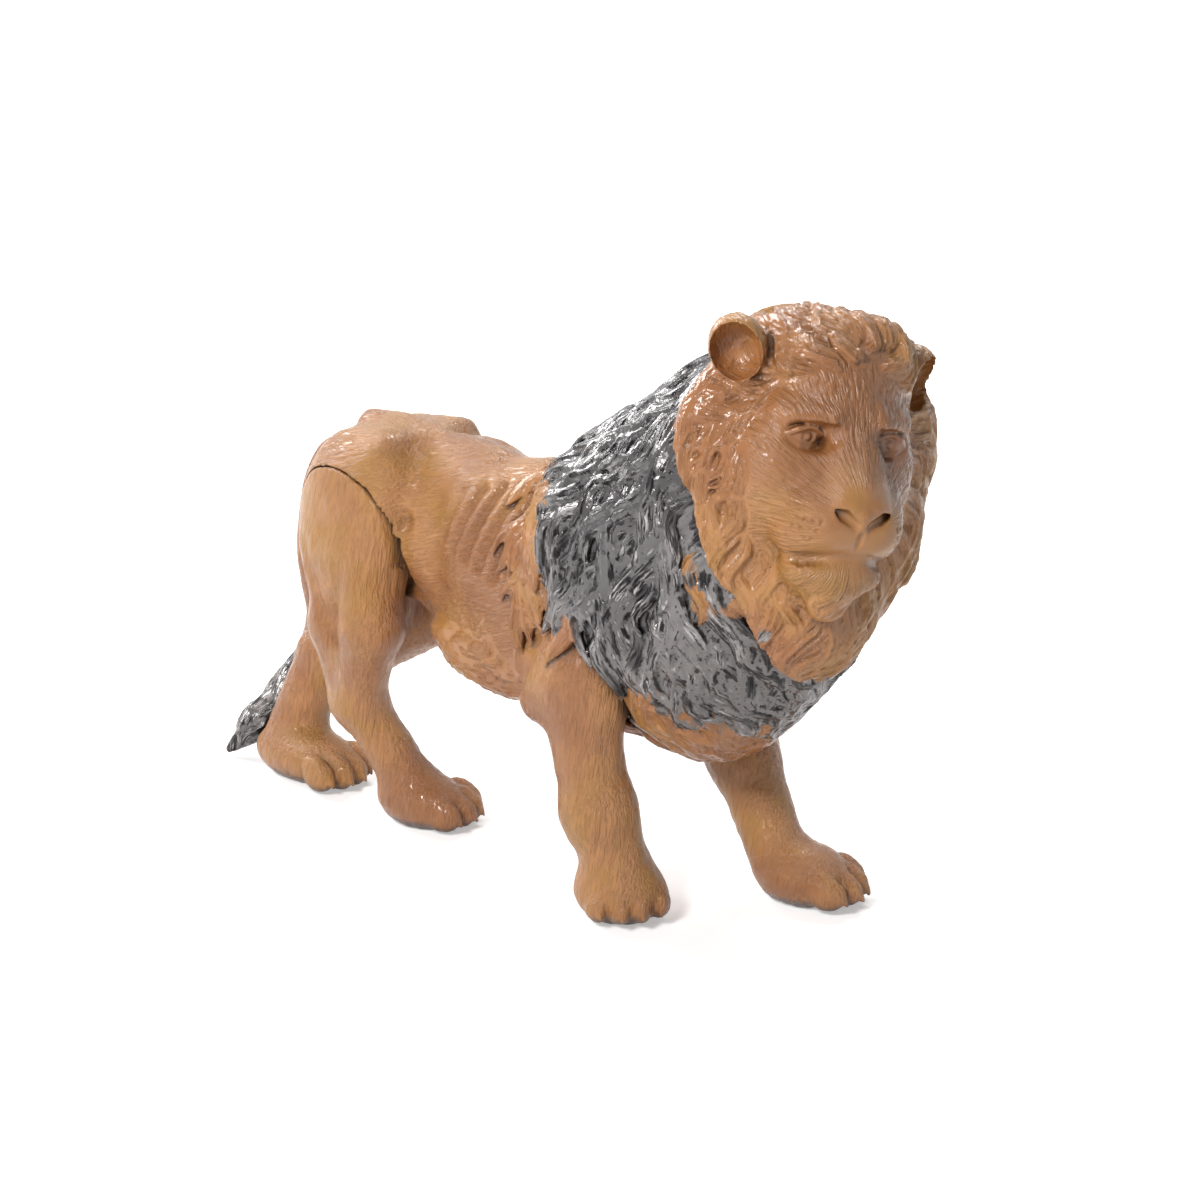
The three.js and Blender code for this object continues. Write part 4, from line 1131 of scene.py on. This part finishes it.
# Features of the face: add or cut, blend, the form and its roll, made on both sides.
FEATURES = [
    ("add", 5, ((0.02, 0.085, 0.075), (-0.05, 0.23, 0.07), (0.045, 0.035))),
    ("add", 3, ((0.05, 0.1, 0.062), (-0.005, 0.215, 0.062), (0.03, 0.028))),
    ("add", 6, ((-0.02, 0.17, -0.1), (-0.11, 0.25, -0.06), (0.055, 0.05))),
    ("add", 8, ((0.0, 0.08, -0.08), (0.05, 0.12, -0.22), (0.075, 0.09))),
    ("cut", 3, ((0.045, 0.158, 0.0), (0.065, 0.09, 0.042)), -5),
    ("cut", 2.0, ((0.072, 0.1, 0.014), (0.05, 0.15, 0.036), (0.042, 0.014))),
    ("add", 3, ((-0.01, 0.045, 0.08), (0.125, 0.058, -0.17), (0.05, 0.052))),
    ("add", 3, ((0.145, 0.035, -0.195), (0.055, 0.06, 0.045))),
    ("add", 2.5, ((0.145, 0.082, -0.2), (0.04, 0.034, 0.032))),
    ("add", 3, ((0.075, 0.1, -0.285), (0.105, 0.105, 0.075))),
    ("add", 3, ((0.04, 0.15, -0.325), (0.085, 0.07, 0.06))),
    ("add", 2, ((0.17, 0, -0.22), (0.165, 0, -0.29), (0.034, 0.018))),
    ("cut", 1.0, ((0.205, 0.03, -0.248), (0.192, 0.075, -0.22), (0.016, 0.019))),
    ("cut", 1.0, ((0.192, 0.075, -0.22), (0.155, 0.118, -0.2), (0.018, 0.006))),
    ("cut", 1.2, ((0.196, 0, -0.28), (0.185, 0, -0.335), (0.007, 0.009))),
    ("add", 4, ((0.06, 0.055, -0.43), (0.105, 0.13, 0.072))),
    ("add", 3, ((0.1, 0.03, -0.46), (0.075, 0.01, -0.53), (0.065, 0.045))),
    ("cut", 1.4, ((0.2, 0, -0.352), (0.175, 0.08, -0.372), (0.018, 0.018))),
    ("cut", 1.4, ((0.175, 0.08, -0.372), (0.11, 0.16, -0.388), (0.018, 0.018))),
    ("cut", 1.4, ((0.11, 0.16, -0.388), (0.035, 0.21, -0.395), (0.015, 0.012))),
    ("cut", 0.8, ((-0.03, 0, 0.24), (0.06, 0, 0.08), (0.004, 0.004))),
]
WHISKERS = {"rows": (-0.25, -0.28, -0.31), "columns": (0.07, 0.1, 0.13, 0.16),
            "shift": 0.012, "way": 0.45, "reach": 24, "steps": 60, "radius": 0.008,
            "blend": 0.3}
# Each lid's rim: its radius and its points, across and up, which stand proud of the eye.
LIDS = [
    (0.011, [(0.085, -0.018), (0.108, 0.012), (0.138, 0.03), (0.17, 0.033), (0.203, 0.022),
             (0.235, -0.004)]),
    (0.009, [(0.085, -0.018), (0.118, -0.03), (0.152, -0.036), (0.188, -0.031),
             (0.235, -0.004)]),
]
LID_PROUD = 0.008
EYE_BLEND, LID_BLEND, IRIS_BLEND, PUPIL_BLEND = 0.4, 0.3, 0.2, 0.1


def dress_eye(clay, side):
    """Eyeball, rims of both lids, and an iris sunk round a raised pupil."""
    eye, size = np.array(EYE)
    clay.join(face_form(EYE, side), EYE_BLEND)
    for thick, rim in LIDS:
        spots = []
        for y, z in rim:
            away = np.array([0, y - eye[1], z - eye[2]]) / size
            over = math.sqrt(max(1 - away @ away, 0.0)) * size[0]
            spots.append((eye[0] + over + LID_PROUD, y, z))
        for a, b in zip(spots, spots[1:]):
            clay.join(face_form((a, b, (thick, thick)), side), LID_BLEND)
    iris = eye + (size[0], 0, 0)
    clay.carve(face_form((iris, IRIS["socket"]), side), IRIS_BLEND)
    pupil = iris - (IRIS["deep"], 0, 0)
    clay.join(face_form((pupil, IRIS["ball"]), side), PUPIL_BLEND)


def dress_face(clay):
    """The features, the eyes, and a pit for each whisker where its way leaves the skin."""
    for action, blend, row, *roll in FEATURES:
        for side in (1, -1):
            item = face_form(row, side, *roll)
            (clay.join if action == "add" else clay.carve)(item, blend)
    for side in (1, -1):
        dress_eye(clay, side)
        ahead = FACE_TURN @ (1, side * WHISKERS["way"], 0)
        steps = np.outer(np.linspace(0, WHISKERS["reach"], WHISKERS["steps"]), ahead)
        for k, z in enumerate(WHISKERS["rows"]):
            for y in WHISKERS["columns"]:
                probe = mm(face_place((0, y + WHISKERS["shift"] * k, z), side)) + steps
                at = probe[np.argmax(clay.sample(probe) > 0)] / MANE_LENGTH
                clay.carve(Ball(at, (WHISKERS["radius"],) * 3), WHISKERS["blend"])


# The ruff's middle height, how far its locks turn round it, go outward, more so on top, and
# back, the height under which they hang, and the roots' shift up and ahead under the chin.
RUFF = {"centre": -0.1, "turning": 0.8, "outward": 0.5, "on_top": 0.6, "top": 0.35,
        "back": 0.35, "lower": -0.25, "fade": 0.25, "middle": 0.06, "raise": 0.02, "chin": 0.1}
HANG, HANG_IN = (-0.1, 0, -1.0), 0.25
# The roots' place ahead, half width, height and depth: start, and growth out to the seam.
RUFF_ROOTS = ((-0.08, -0.2), (0.27, 0.2), (0.33, 0.16), (0.4, 0.36))


def head_flow(points):
    """Hair turns outward over the brow, round the cheeks and in under the jaw."""
    q = in_face(points)
    y, z = q[:, 1], q[:, 2] - RUFF["centre"]
    away = np.maximum(np.hypot(y, z), 1e-3)
    side = np.clip(y / RUFF["middle"], -1, 1)
    turning = np.stack([0 * y, side * z / away, -np.abs(y) / away], 1)
    outward = np.stack([0 * y, y / away, z / away], 1)
    high = held(z / RUFF["top"])[:, None]
    result = turning * RUFF["turning"] + outward * (RUFF["outward"] + RUFF["on_top"] * high)
    result[:, 0] -= RUFF["back"]
    low = held((RUFF["lower"] - q[:, 2]) / RUFF["fade"])[:, None]
    down = np.array(HANG) - HANG_IN * side[:, None] * low * (0, 1, 0)
    return unit((result * (1 - low) + down * low) @ FACE_TURN.T)


def ruff_roots():
    """Candidates from the face's edge out to the seam."""
    count = TRIED["ruff"]
    angle = RANDOM.uniform(0, 2 * np.pi, count)
    share = RANDOM.uniform(0, 1, count)
    ahead, wide, high, deep = (start + growth * share for start, growth in RUFF_ROOTS)
    up = np.cos(angle)
    tall = np.where(up > 0, high, deep)
    y, z = wide * np.sin(angle), tall * up + RUFF["centre"] + RUFF["raise"]
    x = ahead + np.where(up < -0.5, RUFF["chin"], 0)
    return mm([face_place(spot) for spot in np.stack([x, y, z], 1)])


# Pitch and growth, as for the mane.
RUFF_LAYERS = [
    (6.2, 30, 3.6, 2.8, (-2.2, -0.3, 0.2), 0.12, 0.35),
    (8.0, 24, 2.3, 1.8, (-0.5, 0.4, 0.7), 0.14, 0.2),
]
# Fine locks of the forelock and the beard, rooted on the skin near these boxes. Their way is
# ahead, away from the middle and up.
HAIR_PATCHES = [
    {"box": ((-0.2, -0.24, 0.19), (-0.02, 0.26, 0.38)), "way": (-0.6, 0.9, 0.9),
     "layer": (6.2, 19, 3.4, 3.2, (-1.4, 0.6, 2.6), 0.16, 0.25)},
    {"box": ((0.04, -0.12, -0.57), (0.16, 0.12, -0.49)), "way": (-0.45, 0.1, -1.0),
     "layer": (3.6, 14, 2.2, 1.8, (-1.6, -0.2, 0.4), 0.12, 0.3)},
]
HEAD_BLOCK = ((82, -60, 88), (168, 60, 238))


def patch_roots(patch):
    size = (TRIED["patch"], 3)
    return mm([face_place(spot) for spot in RANDOM.uniform(*patch["box"], size)])


def patch_flow(patch):
    ahead, apart, up = patch["way"]

    def flow(points):
        side = np.clip(in_face(points)[:, 1] / 0.15, -1, 1)
        way = np.stack([ahead + 0 * side, apart * side, up + 0 * side], 1)
        return unit(way @ FACE_TURN.T)
    return flow


def add_ear(clay, side):
    """A cup: a ball with a hollow set ahead of its middle."""
    shell = face_form((EAR["at"][side], EAR["size"]), side, EAR["roll"], EAR["yaw"])
    scoop = shell.turn @ (np.array(EAR["scoop"]) * (1, side, 1))
    hollow = Ball(shell.at / MANE_LENGTH + scoop, np.array(EAR["size"]) * EAR["hollow"],
                  shell.turn)
    clay.join(shell, EAR["blend"])
    clay.carve(hollow, EAR["hollow_blend"])


def head_clay(step):
    """The head with its ruff, cut square at the seam."""
    clay, guide = Clay(*HEAD_BLOCK, step), Clay(*HEAD_BLOCK, 2 * step)
    for part in (clay, guide):
        part.join_all([face_form(row) for row in HEAD], FACE_BLEND)
    dress_face(clay)
    plans = [(guide, ruff_roots(), head_flow, *layer) for layer in RUFF_LAYERS]
    plans += [(clay, patch_roots(patch), patch_flow(patch), *patch["layer"])
              for patch in HAIR_PATCHES]
    locks = []
    for base, roots, flow, pitch, *growth in plans:
        spots = to_surface(base, spread_roots(roots, pitch))
        locks += grow_locks(base, spots, flow, *growth, steps=8, strand=2.6)
    clay.join_all(locks, LOCK_BLEND)
    for side in (1, -1):
        add_ear(clay, side)
    clay.drop(-plane_cut(clay, PLUG_POINT, SEAM_NORMAL))
    return clay, locks


# Short hair starts and is full at these distances from the nose and from an eye. Its way
# round the nose is measured at a radius.
NOSE = {"at": (0.14, 0, -0.26), "radius": 26.0, "bare": 11.0, "full": 22.0}
EYE_BARE, EYE_FULL = 7.2, 11.2


def face_hair(points):
    """Short hair runs outward from the nose, which stays bare like the eyes."""
    q = (in_face(points) - np.array(NOSE["at"])) * MANE_LENGTH
    away = np.linalg.norm(q, axis=1)
    angle = np.arctan2(q[:, 1], q[:, 2])
    furry = held((away - NOSE["bare"]) / (NOSE["full"] - NOSE["bare"]))
    for side in (1, -1):
        eye = mm(face_place(EYE[0], side))
        from_eye = np.linalg.norm(points - eye, axis=1)
        furry *= held((from_eye - EYE_BARE) / (EYE_FULL - EYE_BARE))
    return {"hair": np.stack([away, NOSE["radius"] * angle, 0 * away], axis=1), "furry": furry}


# Where the mane's spray starts, along the neck at heights of the seam's frame.
SPRAY_UP = (0.2, 0.27, 0.48, 0.73, 0.93, 1.26, 1.4, 1.5)
SPRAY_FROM = (1.36, 1.28, 1.04, 0.89, 0.84, 0.8, 0.76, 0.72)
# Width of its edge and how ragged that is, and the height from which it shines.
SPRAY_EDGE, SPRAY_RAGGED, SHINE_FROM, SHINE_FADE = 0.16, 0.9, 0.62, 0.3
# Its bare patches: height, half height, where they start along the neck, and how bare.
PATCH = {"up": 0.78, "half": 0.3, "from": 1.3, "fade": 0.14, "least": 0.35, "bare": 1.4}
# The dust on the ruff: where it ends along the neck and up it, and over which lengths.
DUST = {"along": (1.77, 0.14), "up": (1.05, 0.3), "least": 0.35, "ragged": 1.2}
TUFT_TOP, TUFT_FADE, TUFT_GREY = 55.0, 12, 0.3


def mane_spray(points):
    """Tan at the rear fringe, dull grey on the chest and polished above."""
    along, up = seam_places(*points.T / MANE_LENGTH)
    start = np.interp(up, SPRAY_UP, SPRAY_FROM)
    paint = held(0.5 + (along - start) / SPRAY_EDGE + SPRAY_RAGGED * noise(points / 7, 22))
    bare = held(1.2 - np.abs(up - PATCH["up"]) / PATCH["half"])
    bare = bare * held((along - PATCH["from"]) / PATCH["fade"])
    paint = paint - bare * held(PATCH["least"] + noise(points / 9, 21)) * PATCH["bare"]
    return paint + held((up - SHINE_FROM) / SHINE_FADE) * held(paint)


def ruff_spray(points):
    """Grey dusts some locks of the ruff where it meets the lower mane."""
    along, up = seam_places(*points.T / MANE_LENGTH)
    (end, fade), (top, soft) = DUST["along"], DUST["up"]
    close = held((end - along) / fade) * held((top - up) / soft)
    return close * held(DUST["least"] + DUST["ragged"] * noise(points / 8, 23))


def tail_spray(points):
    return held((TUFT_TOP - points[:, 2]) / TUFT_FADE + TUFT_GREY)


# Pieces. The steps of their blocks are in millimetres.

STEP = {"torso": 0.85, "leg": 0.75, "tail": 0.6, "mane": 0.75, "head": 0.58}
torso = trunk_clay(STEP["torso"])
join_hips(torso)
belly_locks = dress_torso(torso)
cut_torso(torso)
make_piece("torso_skin", torso, lock_hair(belly_locks, flow_hair((-1, 0, -0.35)), no_spray),
           hair_lift(0.34), "trunk", "tan_vinyl", "torso_shell")
for name, (leg, hub, side, body) in LEGS.items():
    make_piece(name + "_skin", leg_clay(leg, hub, side, STEP["leg"]),
               flow_hair((-0.15, 0, -1)), hair_lift(0.3), body, "tan_vinyl", name)
tail, tail_locks = tail_clay(STEP["tail"])
make_piece("tail_skin", tail, lock_hair(tail_locks, flow_hair((-0.2, 0, -1)), tail_spray),
           strand_lift(0.3, 0.15), "tail", "tan_vinyl", "tail")
mane, mane_locks = mane_clay(STEP["mane"])
make_piece("mane_locks", mane, lock_hair(mane_locks, flow_hair((-1, 0, -1)), mane_spray, 0.12),
           strand_lift(0.55, 0.3), "trunk", "sprayed_mane", "mane_shell")
head, head_locks = head_clay(STEP["head"])
make_piece("head_skin", head, lock_hair(head_locks, face_hair, ruff_spray),
           strand_lift(0.35, 0.3), "head", "tan_vinyl", "head_shell")


# Camera as in the photograph, studio light and floor.

VIEW = {"azimuth": 43.5, "elevation": 16.5, "distance": 1.4058, "focal_px": 3989.4,
        "image_px": 1200, "sensor_mm": 36.0, "target_mm": (24.3, -3.0, 103.8)}


def add(made, place, aim):
    """An object in the scene at a place, looking at another."""
    made.location = place
    made.rotation_mode = "QUATERNION"
    made.rotation_quaternion = (Vector(aim) - Vector(place)).to_track_quat("-Z", "Y")
    bpy.context.scene.collection.objects.link(made)


azimuth, elevation = math.radians(VIEW["azimuth"]), math.radians(VIEW["elevation"])
target = (Vector(VIEW["target_mm"]) + Vector((SHIFT, 0, 0))) / METRE
back = Vector((math.sin(azimuth) * math.cos(elevation),
               -math.cos(azimuth) * math.cos(elevation), math.sin(elevation)))
camera = bpy.data.objects.new("camera", bpy.data.cameras.new("camera"))
camera.data.sensor_width = VIEW["sensor_mm"]
camera.data.lens = VIEW["focal_px"] / VIEW["image_px"] * VIEW["sensor_mm"]
add(camera, target + back * VIEW["distance"], target)
bpy.context.scene.camera = camera

FLOOR_REACH = 6.0
corners = [(x * FLOOR_REACH, y * FLOOR_REACH, 0) for x, y in ((-1, -1), (1, -1), (1, 1), (-1, 1))]
floor_mesh = bpy.data.meshes.new("floor")
floor_mesh.from_pydata(corners, [], [(0, 1, 2, 3)])
floor = bpy.data.objects.new("floor", floor_mesh)
bpy.context.scene.collection.objects.link(floor)
look = Nodes(bpy.data.materials.new("pale_floor"))
distance = look.node("ShaderNodeVectorMath",
                     Vector=look.node("ShaderNodeTexCoord").outputs["Object"])
distance.operation = "LENGTH"
paper = look.ramp(distance.outputs["Value"], 0.25, 1.0, 0.4, 1.0)
look.shade(Base_Color=linear("f4f4f4"), Roughness=0.9, Emission_Color=(1, 1, 1, 1),
           Emission_Strength=look.times(paper, look.seen()))
floor_mesh.materials.append(look.owner)

# Lamps: place, size and power.
LAMPS = {
    "key": ((0.3, -1.2, 1.0), 0.4, 20),
    "left": ((-1.3, 0.0, 0.8), 0.6, 15),
    "fill": ((1.5, -0.9, 0.6), 1.2, 0.7),
    "top": ((-0.5, 0.7, 1.3), 0.6, 13),
}
for name, (place, size, power) in LAMPS.items():
    lamp = bpy.data.lights.new(name, "AREA")
    lamp.size = size
    lamp.energy = power
    add(bpy.data.objects.new(name, lamp), place, (0, 0, 0.1))

# White behind the lion, dim for the light that falls on it.
world = bpy.data.worlds.new("studio")
bpy.context.scene.world = world
sky = Nodes(world)
backdrop = sky.tree.nodes["Background"]
backdrop.inputs["Color"].default_value = (1, 1, 1, 1)
level = sky.node("ShaderNodeMapRange", Value=sky.seen(), To_Min=0.08)
sky.set(backdrop.inputs["Strength"], level.outputs["Result"])
bpy.context.scene.view_settings.view_transform = "Standard"
